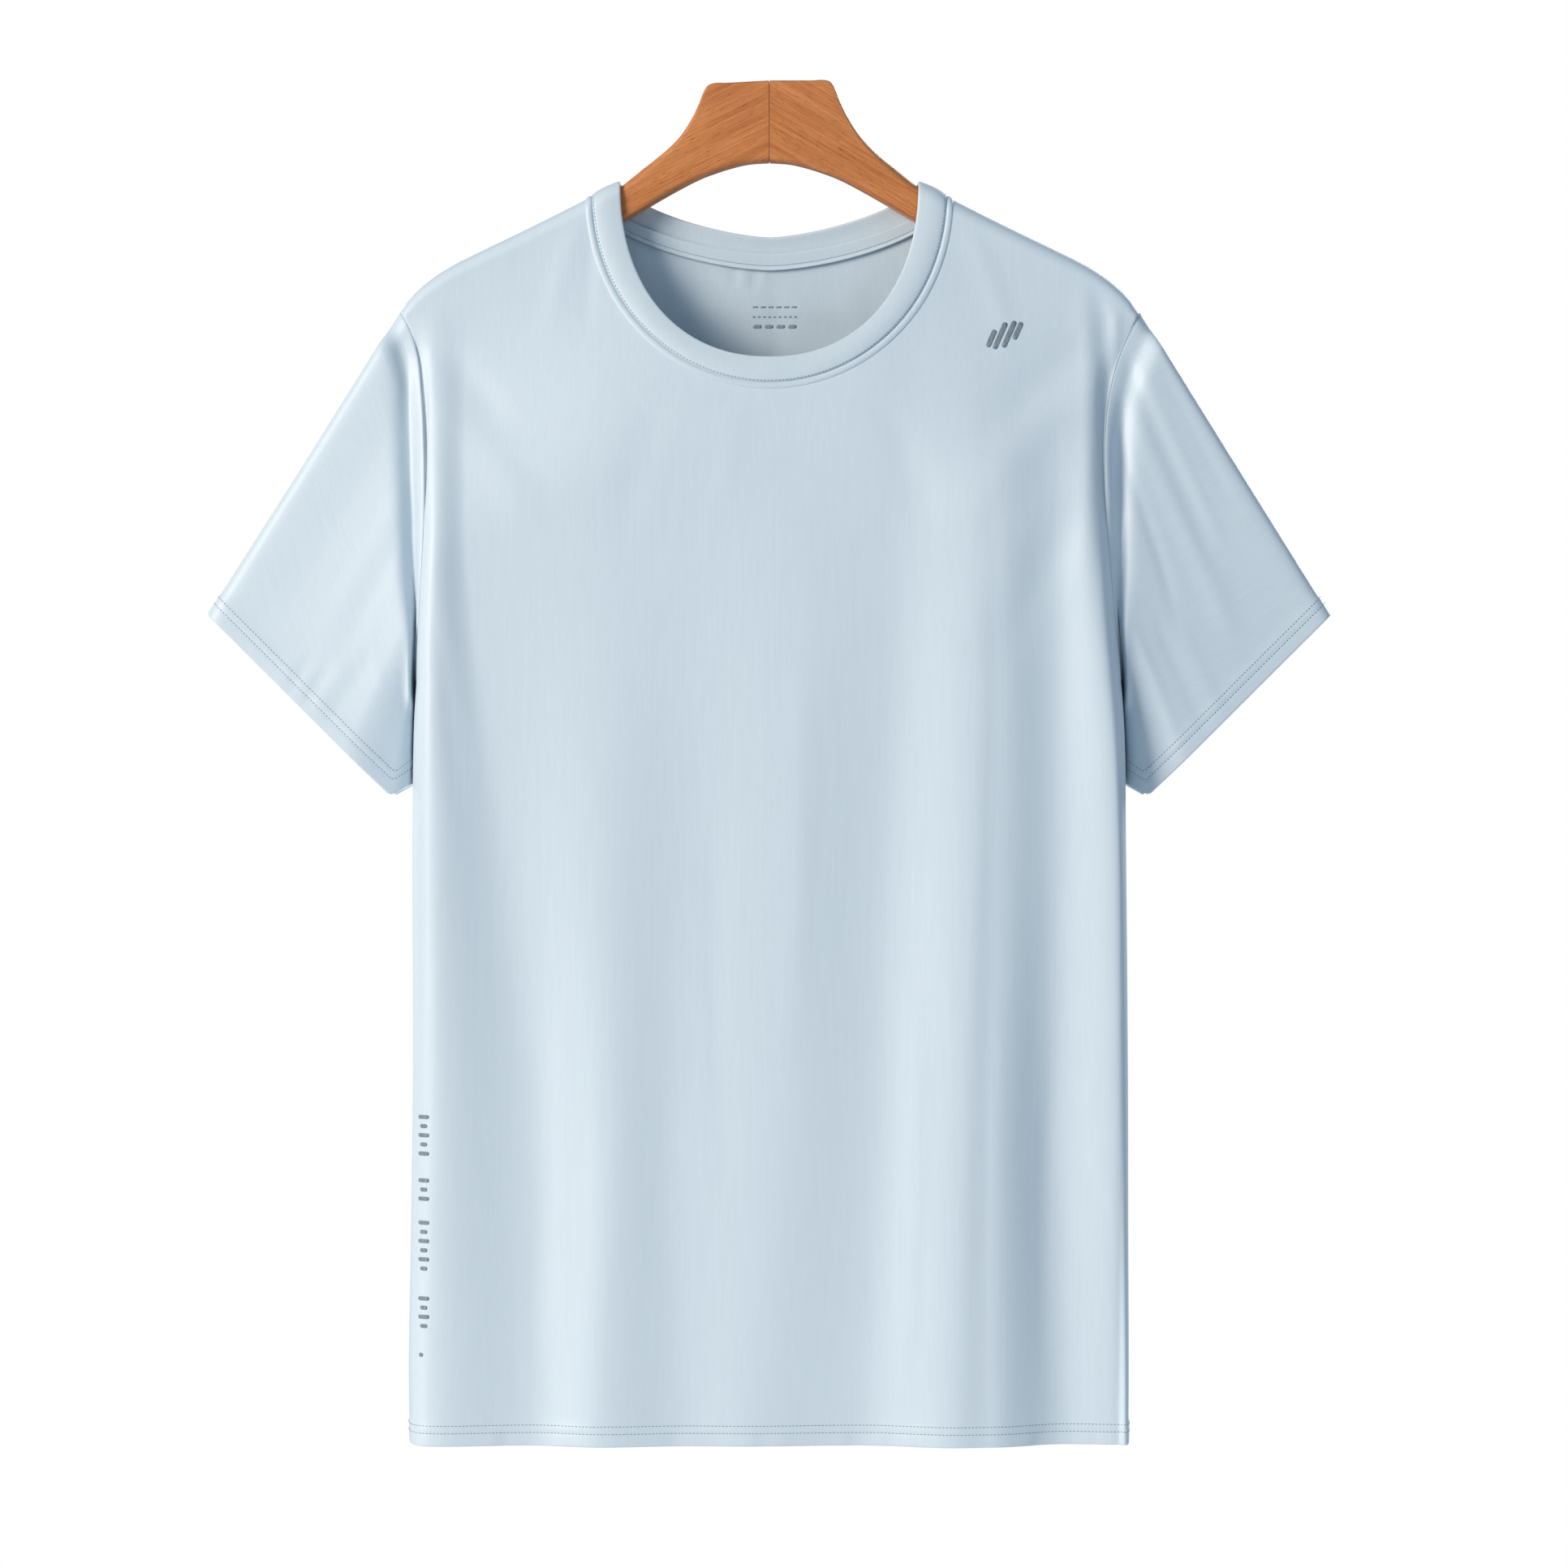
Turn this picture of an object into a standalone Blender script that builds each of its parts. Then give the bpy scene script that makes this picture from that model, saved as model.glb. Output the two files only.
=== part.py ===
"""Sports t-shirt hanging on a flat wooden hanger made of two mitred halves.

Frame: metres, +Z up, -Y is the front of the shirt, +X is the right side of a
front view.  The origin is the top centre of the hanger head, where a hook
screws in.

Every cloth piece is a grid of points on the middle of its wall.  Pieces that
are sewn together share the points of their seam, and stop 0.15 mm short of it.
"""
import math

import bmesh
import bpy
import numpy as np

MM = 0.001

# Walls
CLOTH_WALL = 1.2 * MM
HEM_WALL = 2.2 * MM
BAND_WALL = 2.0 * MM
TAPE_WALL = 1.0 * MM
SEAM_GAP = 0.3 * MM
MITRE_LIMIT = 0.6
ALIKE = 0.85
HEM_ROWS = 2
SHARP_ANGLE = 50

# Body
HEM_Z = -779 * MM
HEM_DEPTH = 11.6 * MM
UNDERARM_Z = -345 * MM
SHOULDER_TIP_Z = -133 * MM
SIDE_ROUNDNESS = 5.0
FRONT_ROUNDNESS = 2.0
RIDGE_RADIUS = 8.7 * MM
SHOULDER_FALL = 170 * MM
ARMHOLE_TIP_DEPTH = 8.2 * MM
TIP_BLEND = 45 * MM
ARMHOLE_BELLY = 6.0 * MM
ARMHOLE_FOOT_HEIGHT = 60 * MM
ARMHOLE_FOOT_POWER = 1.5
NARROWEST_FOLD = 1 * MM

# Neck
NECK_POINT_X = 101 * MM
NECK_SEAM_FRONT_Z = -174.6 * MM
NECK_SEAM_BACK_Z = -102.5 * MM
BAND_POINT_X = 85.3 * MM
BAND_FRONT_Z = -160 * MM
BAND_BACK_Z = -88 * MM
NECK_FRONT_SQUARENESS = 2.0
NECK_BACK_SQUARENESS = 1.6
BAND_FRONT_SQUARENESS = 2.2
BAND_BACK_SQUARENESS = 1.5
TAPE_WIDTH = 9.4 * MM
TAPE_LIFT = 0.35 * MM
TAPE_REACH = 82 * MM

# Sleeves
CUFF_TOP_X = 321.8 * MM
CUFF_TOP_Z = -306 * MM
CUFF_LOW_X = 216.9 * MM
CUFF_LOW_Z = -409.6 * MM
CUFF_SEAM_X = 204.8 * MM
CUFF_SEAM_Z = -402.5 * MM
CUFF_CORNER_SHARE = 0.93
SLEEVE_HALF_DEPTH = 27 * MM
CUFF_HALF_DEPTH = 19 * MM
SLEEVE_ROUNDNESS = 4.0
RECESS_WIDTH = 18 * MM
UNDERARM_STEP = 3.4 * MM
UNDERARM_BACK = 9.0 * MM
UNDERARM_BACK_SHARE = 0.4
UNDERARM_FROM = 0.72
UNDERARM_FADE = 3.0
CUFF_LEAN_LIMIT = 0.75

# Hanger
HANGER_THICKNESS = 13 * MM
HANGER_SEAT = 1.85 * MM
HANGER_REACH = 182 * MM
MITRE_GAP = 0.3 * MM
HOOK_HOLE_RADIUS = 2.4 * MM
HOOK_HOLE_DEPTH = 22 * MM
HEAD_EDGE_RADIUS = 2.6 * MM
FOOT_EDGE_RADIUS = 3.0 * MM
HEAD_END_X = 33 * MM
HEAD_BLEND = 50 * MM
FOOT_ANGLES = (0.0, 45.0, 90.0)
TOP_ANGLES = (0.0, 22.5, 45.0, 67.5, 88.0)
HOLE_SEGMENTS = 20

# Half width of the body at the side seam, then along the armhole seam (mm).
#   height   left    right
SIDE_LINE = (
    (-779.0, 205.5, 205.0),
    (-740.0, 206.2, 205.2),
    (-660.0, 204.9, 204.9),
    (-560.0, 203.7, 204.6),
    (-430.0, 204.0, 203.4),
    (-371.0, 203.2, 202.6),
    (-339.0, 201.6, 200.4),
    (-296.0, 198.4, 195.2),
    (-243.0, 195.9, 191.2),
    (-200.0, 197.0, 191.6),
    (-179.0, 198.6, 194.5),
    (-157.0, 201.4, 200.9),
    (-141.0, 206.8, 208.4),
    (-133.0, 211.6, 212.6),
)

# Ridge of the shoulders, which rests on the hanger (mm).
#   from centre  height
SHOULDER_RIDGE = (
    (0.0, -42.0),
    (60.0, -47.5),
    (91.6, -61.2),
    (108.0, -69.8),
    (127.0, -79.4),
    (146.0, -88.7),
    (166.0, -98.3),
    (184.0, -107.5),
    (197.6, -116.8),
    (206.5, -125.4),
    (212.0, -133.0),
)

# How far the panels stand from the plane of the side seams (mm).
#   height  front  back
BODY_DEPTH = (
    (-779.0, 31.0, 28.0),
    (-600.0, 33.0, 31.0),
    (-450.0, 35.0, 34.0),
    (-350.0, 36.0, 36.0),
    (-250.0, 33.0, 35.0),
    (-180.0, 28.0, 31.0),
    (-130.0, 23.0, 26.0),
)

# Vertical folds: each row is the line of one crest or trough, left to right.
# x is its place across the panel, out is how far it stands out (mm).
#   x chest  x waist  x hem   out chest  out waist  out hem
FRONT_FOLDS = (
    (-192.0, -181.0, -184.0, 0.0, 3.4, 0.8),
    (-154.0, -142.5, -140.0, -3.6, -1.6, -3.6),
    (-94.0, -86.0, -96.5, -0.6, 3.4, 3.6),
    (-62.0, -44.0, -49.5, -0.9, 0.6, 0.2),
    (36.0, 19.0, -1.5, 1.3, 3.0, 2.8),
    (76.0, 65.5, 45.0, 0.1, 0.5, 0.4),
    (128.0, 118.0, 107.5, 4.0, 7.0, 10.6),
    (164.5, 166.0, 172.5, -0.8, -3.2, -1.0),
    (186.0, 190.0, 195.0, 1.0, 0.4, 0.0),
)
BACK_FOLDS = (
    (-188.0, -186.0, -184.0, 0.6, 1.2, 0.6),
    (-150.0, -146.0, -151.0, -2.4, -2.8, -1.2),
    (-112.0, -104.0, -98.0, 2.0, 5.2, 8.0),
    (-70.0, -58.0, -46.0, -0.4, 0.4, -0.8),
    (-22.0, -12.0, 2.0, 0.8, 2.6, 3.8),
    (30.0, 38.0, 48.0, -0.6, -0.2, 0.4),
    (88.0, 84.0, 92.0, 1.6, 4.4, 5.4),
    (146.0, 140.0, 138.0, -2.8, -2.2, -2.0),
    (186.0, 184.0, 186.0, 0.4, 2.2, 1.4),
)
FOLD_HEIGHTS = (-779 * MM, -489 * MM, -279 * MM, -195 * MM)

# Hanger outline beside the neck (mm); past it the top follows the ridge.
#   from centre  top    bottom
HANGER_OUTLINE = (
    (0.0, 0.0, -46.5),
    (12.0, 0.0, -47.4),
    (24.0, 0.0, -50.3),
    (33.0, 0.0, -53.3),
    (35.5, -1.3, -54.2),
    (37.5, -4.3, -55.0),
    (40.0, -10.5, -56.1),
    (43.0, -17.2, -57.5),
    (46.5, -23.4, -59.3),
    (51.0, -30.2, -61.7),
    (57.0, -37.3, -65.0),
    (64.0, -43.8, -69.0),
    (73.0, -50.9, -74.4),
    (84.0, -59.7, -80.6),
)
# Depth of the arm below its top, under the cloth (mm).
#   from centre  depth
ARM_DEPTH = ((84.0, 20.9), (110.0, 21.5), (140.0, 19.5), (170.0, 15.5), (190.0, 11.0))
ARM_STATIONS = (92.0, 101.0, 114.0, 130.0, 147.0, 161.0, 171.0)
# Rounded end of an arm: distance short of the reach (mm) and share of the section.
ARM_END = ((3.5, 1.0), (1.0, 0.78), (0.0, 0.45))

# Rows of a panel: heights up the side seam (mm), distances down the armhole from
# the shoulder tip (mm), then shares of the shoulder from its tip to the neck.
SIDE_ROWS = (-779, -767.4, -765.8, -715, -655, -595, -535, -480, -430, -385)
ARMHOLE_ROWS = (212, 209, 202, 190, 174, 156, 138, 119, 100, 81, 62, 44, 28, 14, 5.5, 1.5, 0)
SHOULDER_ROWS = (0.12, 0.26, 0.42, 0.6, 0.8, 1.0)
# Columns of a panel, from a side seam to the middle: distances along the hem
# from the side seam (mm), and round the neckline as drops from the neck point
# (mm) and then shares of the turn left.  Both crowd where the cloth turns.
HEM_PLACES = (0, 4, 10, 19, 31, 46)
NECK_DROPS = (0.7, 2.6, 6.0)
NECK_SHARES = (0.05, 0.11, 0.18, 0.27, 0.37, 0.48, 0.6, 0.73, 0.86, 1.0)
# Shares of the way from armhole to cuff hem, and from neck seam to band edge.
SLEEVE_ROWS = (0.0, 0.035, 0.09, 0.17, 0.28, 0.42, 0.6, 0.8, 0.985, 1.0)
BAND_ROWS = (0.0, 0.5, 0.93, 1.0)
TAPE_ROWS = (-1.0, -0.3, 0.3, 1.0)

CLOTH_COLOUR = (0.60, 0.68, 0.73)
BAND_COLOUR = (0.57, 0.65, 0.70)
TAPE_COLOUR = (0.53, 0.62, 0.67)
WOOD_COLOUR = (0.52, 0.22, 0.078)
CLOTH_ROUGHNESS = 0.6
WOOD_ROUGHNESS = 0.45


# ---------------------------------------------------------------- small maths

def ease(share):
    """Rise smoothly from 0 to 1."""
    share = np.clip(share, 0.0, 1.0)
    return share * share * (3.0 - 2.0 * share)


def quarter(share):
    """Rise from 0 to 1 along a quarter circle, steep at first."""
    return np.sqrt(1.0 - (1.0 - np.clip(share, 0.0, 1.0)) ** 2)


def flow(at, known, values):
    """Value at each place of a smooth curve through (known, values)."""
    known = np.asarray(known, float)
    values = np.asarray(values, float)
    at = np.clip(at, known[0], known[-1])
    steps = np.diff(known)
    slopes = np.diff(values) / steps
    tangents = np.concatenate(([slopes[0]], (slopes[:-1] + slopes[1:]) / 2, [slopes[-1]]))
    index = np.clip(np.searchsorted(known, at, side="right") - 1, 0, len(steps) - 1)
    step = steps[index]
    t = (at - known[index]) / step
    rise = values[index + 1] - values[index]
    start = tangents[index] * step
    end = tangents[index + 1] * step
    bend = start * t * (1 - t) ** 2 - end * t * t * (1 - t)
    return values[index] + rise * ease(t) + bend


def column(table, index):
    """One column of a table in millimetres, as metres."""
    return np.array([row[index] for row in table]) * MM


def lens(share, along=SIDE_ROUNDNESS, out=FRONT_ROUNDNESS):
    """Height of a flattened tube's wall: 1 in the middle, 0 at either edge."""
    return (1.0 - np.clip(np.abs(share), 0.0, 1.0) ** along) ** (1.0 / out)


# ------------------------------------------------------------------ body form

def half_width(x, z):
    """Distance from the middle to the side or armhole seam at height z."""
    heights = column(SIDE_LINE, 0)
    left = flow(z, heights, column(SIDE_LINE, 1))
    right = flow(z, heights, column(SIDE_LINE, 2))
    return np.where(x < 0, left, right)


def ridge_height(x):
    """Height of the shoulder ridge at x."""
    return flow(np.abs(x), column(SHOULDER_RIDGE, 0), column(SHOULDER_RIDGE, 1))


def armhole_depth(z):
    """How far the armhole seam stands from the plane of the side seams."""
    above = np.clip(z - UNDERARM_Z, 0.0, None)
    below = np.clip(SHOULDER_TIP_Z - z, 0.0, None)
    height = SHOULDER_TIP_Z - UNDERARM_Z
    belly = ARMHOLE_TIP_DEPTH + ARMHOLE_BELLY * ease(below / (0.5 * height))
    foot = quarter(above / ARMHOLE_FOOT_HEIGHT) ** ARMHOLE_FOOT_POWER
    return belly * foot * quarter(below / ARMHOLE_TIP_DEPTH)


def fold_relief(x, z, folds):
    """How far the folds stand out at x, z: eased from each crest to its trough."""
    heights = np.array(FOLD_HEIGHTS)
    hem_x, waist_x, chest_x = column(folds, 2), column(folds, 1), column(folds, 0)
    hem_out, waist_out, chest_out = column(folds, 5), column(folds, 4), column(folds, 3)
    edge = half_width(x, z)
    places = [-edge]
    reliefs = [np.zeros_like(edge)]
    for row in range(len(folds)):
        places.append(flow(z, heights, (hem_x[row], waist_x[row], chest_x[row], chest_x[row])))
        reliefs.append(flow(z, heights, (hem_out[row], waist_out[row], chest_out[row], 0.0)))
    places.append(edge)
    reliefs.append(np.zeros_like(edge))
    relief = np.zeros_like(edge)
    for row in range(len(places) - 1):
        span = np.maximum(places[row + 1] - places[row], NARROWEST_FOLD)
        share = (x - places[row]) / span
        inside = (share >= 0.0) & (share <= 1.0)
        between = reliefs[row] + (reliefs[row + 1] - reliefs[row]) * ease(share)
        relief = np.where(inside, between, relief)
    return relief


def body_y(x, z, side):
    """Y of the middle of the wall; side is -1 for the front, +1 for the back."""
    folds = FRONT_FOLDS if side < 0 else BACK_FOLDS
    depths = column(BODY_DEPTH, 1 if side < 0 else 2)
    chest = flow(z, column(BODY_DEPTH, 0), depths)
    drop = np.clip(ridge_height(x) - z, 0.0, None)
    over_arm = RIDGE_RADIUS * quarter(drop / RIDGE_RADIUS)
    fallen = (chest - RIDGE_RADIUS) * ease(drop / SHOULDER_FALL)
    across = lens(x / half_width(x, z))
    high = ease(1.0 + (z - SHOULDER_TIP_Z) / TIP_BLEND)
    seam = armhole_depth(z) * (z > UNDERARM_Z)
    edge = seam * (1.0 - across) ** 2 * (1.0 - high)
    relief = fold_relief(x, z, folds)
    return side * (edge + over_arm * (across + (1.0 - across) * high) + (fallen + relief) * across)


def neck_arc(angles, point_x, low_z, squareness):
    """Half of a neckline in X and Z, from the neck point to the middle."""
    top_z = ridge_height(np.array([point_x]))[0]
    across = np.clip(np.cos(angles), 0.0, 1.0) ** (2.0 / squareness) * point_x
    down = np.sin(angles) ** (2.0 / squareness) * (top_z - low_z)
    return across, top_z - down


def neck_angles(point_x, low_z, squareness):
    """Angles round half a neckline, crowded where it turns over the ridge."""
    top_z = ridge_height(np.array([point_x]))[0]
    shares = np.array(NECK_DROPS) * MM / (top_z - low_z)
    near = np.arcsin(shares ** (squareness / 2.0))
    rest = near[-1] + (math.pi / 2 - near[-1]) * np.array(NECK_SHARES)
    return np.concatenate(([0.0], near, rest))


def neck_line(point_x, low_z, squareness, side):
    """Points of a whole neckline, left to right, on the front or the back."""
    angles = neck_angles(point_x, low_z, squareness)
    across, heights = neck_arc(angles, point_x, low_z, squareness)
    x = np.concatenate((-across, across[-2::-1]))
    z = np.concatenate((heights, heights[-2::-1]))
    return np.stack((x, body_y(x, z, side), z), axis=-1)


def neck_seam(side):
    """Seam between a panel and the neckband."""
    if side < 0:
        return neck_line(NECK_POINT_X, NECK_SEAM_FRONT_Z, NECK_FRONT_SQUARENESS, side)
    return neck_line(NECK_POINT_X, NECK_SEAM_BACK_Z, NECK_BACK_SQUARENESS, side)


def band_edge(side):
    """Free inner edge of the neckband."""
    if side < 0:
        return neck_line(BAND_POINT_X, BAND_FRONT_Z, BAND_FRONT_SQUARENESS, side)
    return neck_line(BAND_POINT_X, BAND_BACK_Z, BAND_BACK_SQUARENESS, side)


def side_boundary(hand):
    """X, Z and length so far of a panel's edge: side seam, armhole, shoulder."""
    side = np.array(SIDE_ROWS) * MM
    armhole = SHOULDER_TIP_Z - np.array(ARMHOLE_ROWS) * MM
    rising = np.concatenate((side, armhole))
    rising_x = half_width(hand, rising)
    tip_x = rising_x[-1]
    shoulder_x = tip_x + (NECK_POINT_X - tip_x) * np.array(SHOULDER_ROWS)
    x = np.concatenate((rising_x, shoulder_x))
    z = np.concatenate((rising, ridge_height(shoulder_x)))
    length = np.concatenate(([0.0], np.cumsum(np.hypot(np.diff(x), np.diff(z)))))
    return hand * x, z, length


def hem_places():
    """Shares across the hem, -1 to 1, with the cloth evenly spaced in the middle."""
    fine = np.sin(np.linspace(-math.pi / 2, math.pi / 2, 2001))
    run = np.hypot(np.diff(fine) * SIDE_LINE[0][1], np.diff(lens(fine)) * BODY_DEPTH[0][1]) * MM
    length = np.concatenate(([0.0], np.cumsum(run)))
    near = np.array(HEM_PLACES) * MM
    rest = len(NECK_DROPS) + len(NECK_SHARES) + 1 - len(near)
    half = np.concatenate((near, np.linspace(near[-1], length[-1] / 2, rest + 1)[1:]))
    places = np.concatenate((half, length[-1] - half[-2::-1]))
    return np.interp(places, length, fine)


def panel_grid(side):
    """Points of the front (side -1) or back (side +1): rows up, columns across."""
    left_x, left_z, length = side_boundary(-1)
    right_x = side_boundary(1)[0]
    top = neck_seam(side)
    share = hem_places()
    hem_x = share * half_width(share, np.full(len(share), HEM_Z))
    across = np.linspace(0.0, 1.0, len(share))[None, :]
    upward = ((length / length[-1]) ** 2)[:, None]
    hem_bulge = hem_x - (hem_x[0] + (hem_x[-1] - hem_x[0]) * across[0])
    top_bulge = top[:, 0] - (top[0, 0] + (top[-1, 0] - top[0, 0]) * across[0])
    x = left_x[:, None] * (1 - across) + right_x[:, None] * across
    x = x + hem_bulge * (1 - upward) + top_bulge * upward
    z = left_z[:, None] + (top[:, 2] - top[0, 2]) * upward
    y = body_y(x, z, side)
    seam_rows = len(SIDE_ROWS) + len(ARMHOLE_ROWS)
    seam_y = side * armhole_depth(left_z[:seam_rows])
    y[:seam_rows, 0] = seam_y
    y[:seam_rows, -1] = seam_y
    y[seam_rows:, 0] = 0.0
    y[seam_rows:, -1] = 0.0
    return np.stack((x, y, z), axis=-1)


# -------------------------------------------------------------------- sleeves

def cuff_path(share, hand):
    """X and Z of the cuff's edge: 0 at the outer fold, 1 at the underarm seam."""
    places = (0.0, CUFF_CORNER_SHARE, 1.0)
    x = np.interp(share, places, (CUFF_TOP_X, CUFF_LOW_X, CUFF_SEAM_X))
    z = np.interp(share, places, (CUFF_TOP_Z, CUFF_LOW_Z, CUFF_SEAM_Z))
    return hand * x, z


def sleeve_half(armhole, hand, side):
    """Front or back half of a sleeve: rows to the cuff, columns tip to underarm."""
    steps = np.linalg.norm(np.diff(armhole, axis=0), axis=1)
    share = np.concatenate(([0.0], np.cumsum(steps))) / steps.sum()
    cuff_x, cuff_z = cuff_path(share, hand)
    run_x = cuff_x - armhole[:, 0]
    run_z = cuff_z - armhole[:, 2]
    run = np.hypot(run_x, run_z)
    cuff_run = np.hypot(CUFF_TOP_X - CUFF_LOW_X, CUFF_TOP_Z - CUFF_LOW_Z)
    normal_x = hand * (CUFF_TOP_Z - CUFF_LOW_Z) / cuff_run
    normal_z = (CUFF_LOW_X - CUFF_TOP_X) / cuff_run
    straight = (run_x * normal_x + run_z * normal_z) / run
    hem = HEM_DEPTH / np.clip(straight, CUFF_LEAN_LIMIT, 1.0) / run
    way = np.array(SLEEVE_ROWS)[:, None] * (1 - hem)
    way = np.concatenate((way, np.ones((1, len(share)))))
    near_underarm = ease((share - UNDERARM_FROM) / (1.0 - UNDERARM_FROM))
    leaving = np.minimum(way / way[1], 1.0) * (1 - way) ** UNDERARM_FADE
    x = armhole[:, 0] + run_x * way + hand * UNDERARM_STEP * near_underarm * leaving
    z = armhole[:, 2] + run_z * way
    risen = quarter(way * run / RECESS_WIDTH)
    full = SLEEVE_HALF_DEPTH + (CUFF_HALF_DEPTH - SLEEVE_HALF_DEPTH) * way
    face = full * lens(2 * share - 1, SLEEVE_ROUNDNESS)
    seam = np.abs(armhole[:, 1])
    y = side * (seam + (face - seam) * risen)
    y = y + UNDERARM_BACK * near_underarm * ease(way / UNDERARM_BACK_SHARE)
    return np.stack((x, y, z), axis=-1)


def sleeve_grid(front, back, hand):
    """Points of a sleeve: rows from armhole to cuff, columns round the arm."""
    edge = 0 if hand < 0 else -1
    start = len(SIDE_ROWS)
    rows = slice(start, start + len(ARMHOLE_ROWS))
    front_half = sleeve_half(front[rows, edge][::-1], hand, -1)
    back_half = sleeve_half(back[rows, edge][::-1], hand, 1)
    return np.concatenate((front_half, back_half[:, -2:0:-1]), axis=1)


# ------------------------------------------------------------- neck and tape

def ring(front_line, back_line):
    """Closed loop: front left to right, then back right to left."""
    return np.concatenate((front_line, back_line[-2:0:-1]))


def band_grid():
    """Points of the neckband: rows from its seam to its free edge, round the neck."""
    seam = ring(neck_seam(-1), neck_seam(1))
    edge = ring(band_edge(-1), band_edge(1))
    rows = [seam + (edge - seam) * share for share in BAND_ROWS]
    return np.stack(rows)


def tape_grid():
    """Points of the tape inside the back neck: rows up, columns left to right."""
    seam = neck_seam(1)
    seam = seam[np.abs(seam[:, 0]) < TAPE_REACH]
    lift = (BAND_WALL + TAPE_WALL) / 2 + TAPE_LIFT
    rows = []
    for share in TAPE_ROWS:
        z = seam[:, 2] + share * TAPE_WIDTH / 2
        y = body_y(seam[:, 0], z, 1) - lift
        rows.append(np.stack((seam[:, 0], y, z), axis=-1))
    return np.stack(rows)


# ------------------------------------------------------------------- meshing

def grid_normals(points, around):
    """Normals of a grid of points; around says that the columns form a ring."""
    if around:
        across = np.roll(points, -1, axis=1) - np.roll(points, 1, axis=1)
    else:
        across = np.gradient(points, axis=1)
    normals = np.cross(across, np.gradient(points, axis=0))
    return normals / np.linalg.norm(normals, axis=-1, keepdims=True)


def point_key(point):
    """Key under which sewn pieces find the points they share."""
    return tuple(np.round(point / (0.01 * MM)).astype(int))


def draw_back(points, around, row, col, mitre, is_sewn):
    """Half a seam gap away from each seam that runs through this point."""
    rows, cols = points.shape[:2]
    borders = [(row == 0, 1, 0), (row == rows - 1, -1, 0)]
    if not around:
        borders += [(col == 0, 0, 1), (col == cols - 1, 0, -1)]
    shift = np.zeros(3)
    for on_border, step_row, step_col in borders:
        if not on_border:
            continue
        along = np.zeros(3)
        for sign in (1, -1):
            side_row = row + sign * abs(step_col)
            side_col = col + sign * abs(step_row)
            if around:
                side_col = side_col % cols
            inside = 0 <= side_row < rows and 0 <= side_col < cols
            if inside and is_sewn[side_row, side_col]:
                along += sign * (points[side_row, side_col] - points[row, col])
        if not along.any():
            continue
        inward = points[row + step_row, col + step_col] - points[row, col]
        along = along / np.linalg.norm(along)
        lift = mitre - (mitre @ along) * along
        for axis in (along, lift / np.linalg.norm(lift)):
            inward = inward - (inward @ axis) * axis
        shift += inward / np.linalg.norm(inward) * SEAM_GAP / 2
    return shift


def mitre_of(normals):
    """Middle direction of the walls that meet, and its length for walls of 1."""
    alike = (normals @ normals.T > ALIKE).sum(axis=1)
    weights = 1.0 / alike
    middle = weights @ normals
    middle = middle / np.linalg.norm(middle)
    leaning = (weights @ (normals @ middle)) / weights.sum()
    return middle, 1.0 / max(leaning, MITRE_LIMIT)


def sew(pieces):
    """Give shared points one mitred normal, and draw each piece back from it."""
    meeting = {}
    for piece in pieces:
        for place in np.ndindex(piece["points"].shape[:2]):
            key = point_key(piece["points"][place])
            meeting.setdefault(key, []).append(piece["normals"][place])
    for piece in pieces:
        points, normals = piece["points"], piece["normals"]
        shared = np.empty(points.shape[:2], dtype=object)
        for place in np.ndindex(points.shape[:2]):
            shared[place] = meeting[point_key(points[place])]
        is_sewn = np.vectorize(len)(shared) > 1
        moved, turned = points.copy(), normals.copy()
        for row, col in zip(*np.nonzero(is_sewn)):
            mitre, reach = mitre_of(np.array(shared[row, col]))
            turned[row, col] = mitre * reach
            moved[row, col] += draw_back(points, piece["around"], row, col, mitre, is_sewn)
        piece["points"], piece["normals"] = moved, turned


def split(quad, vertices):
    """Two triangles of a quad along its shorter diagonal, the same on both sides of a seam."""
    first, second, third, fourth = (vertices[index] for index in quad)
    if np.linalg.norm(third - first) < np.linalg.norm(fourth - second):
        return [quad[0], quad[1], quad[2]], [quad[0], quad[2], quad[3]]
    return [quad[1], quad[2], quad[3]], [quad[1], quad[3], quad[0]]


def wall_faces(vertices, rows, cols, around):
    """Faces of a closed wall: outer grid, inner grid, and the borders between."""
    def outer(row, col):
        return row * cols + col % cols

    def inner(row, col):
        return rows * cols + outer(row, col)

    faces = []
    last = cols if around else cols - 1
    for row in range(rows - 1):
        for col in range(last):
            corners = ((row, col), (row, col + 1), (row + 1, col + 1), (row + 1, col))
            faces.append([outer(*corner) for corner in corners])
            faces.append([inner(*corner) for corner in reversed(corners)])
    edges = []
    for col in range(last):
        edges.append(((0, col + 1), (0, col)))
        edges.append(((rows - 1, col), (rows - 1, col + 1)))
    if not around:
        for row in range(rows - 1):
            edges.append(((row, 0), (row + 1, 0)))
            edges.append(((row + 1, cols - 1), (row, cols - 1)))
    for start, end in edges:
        quad = [outer(*start), outer(*end), inner(*end), inner(*start)]
        faces.extend(split(quad, vertices))
    return faces


def make_material(name, colour, roughness):
    """Principled material of one piece."""
    material = bpy.data.materials.new(name)
    material.use_nodes = True
    shader = material.node_tree.nodes["Principled BSDF"]
    shader.inputs["Base Color"].default_value = (*colour, 1.0)
    shader.inputs["Roughness"].default_value = roughness
    shader.inputs["Metallic"].default_value = 0.0
    return material


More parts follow.
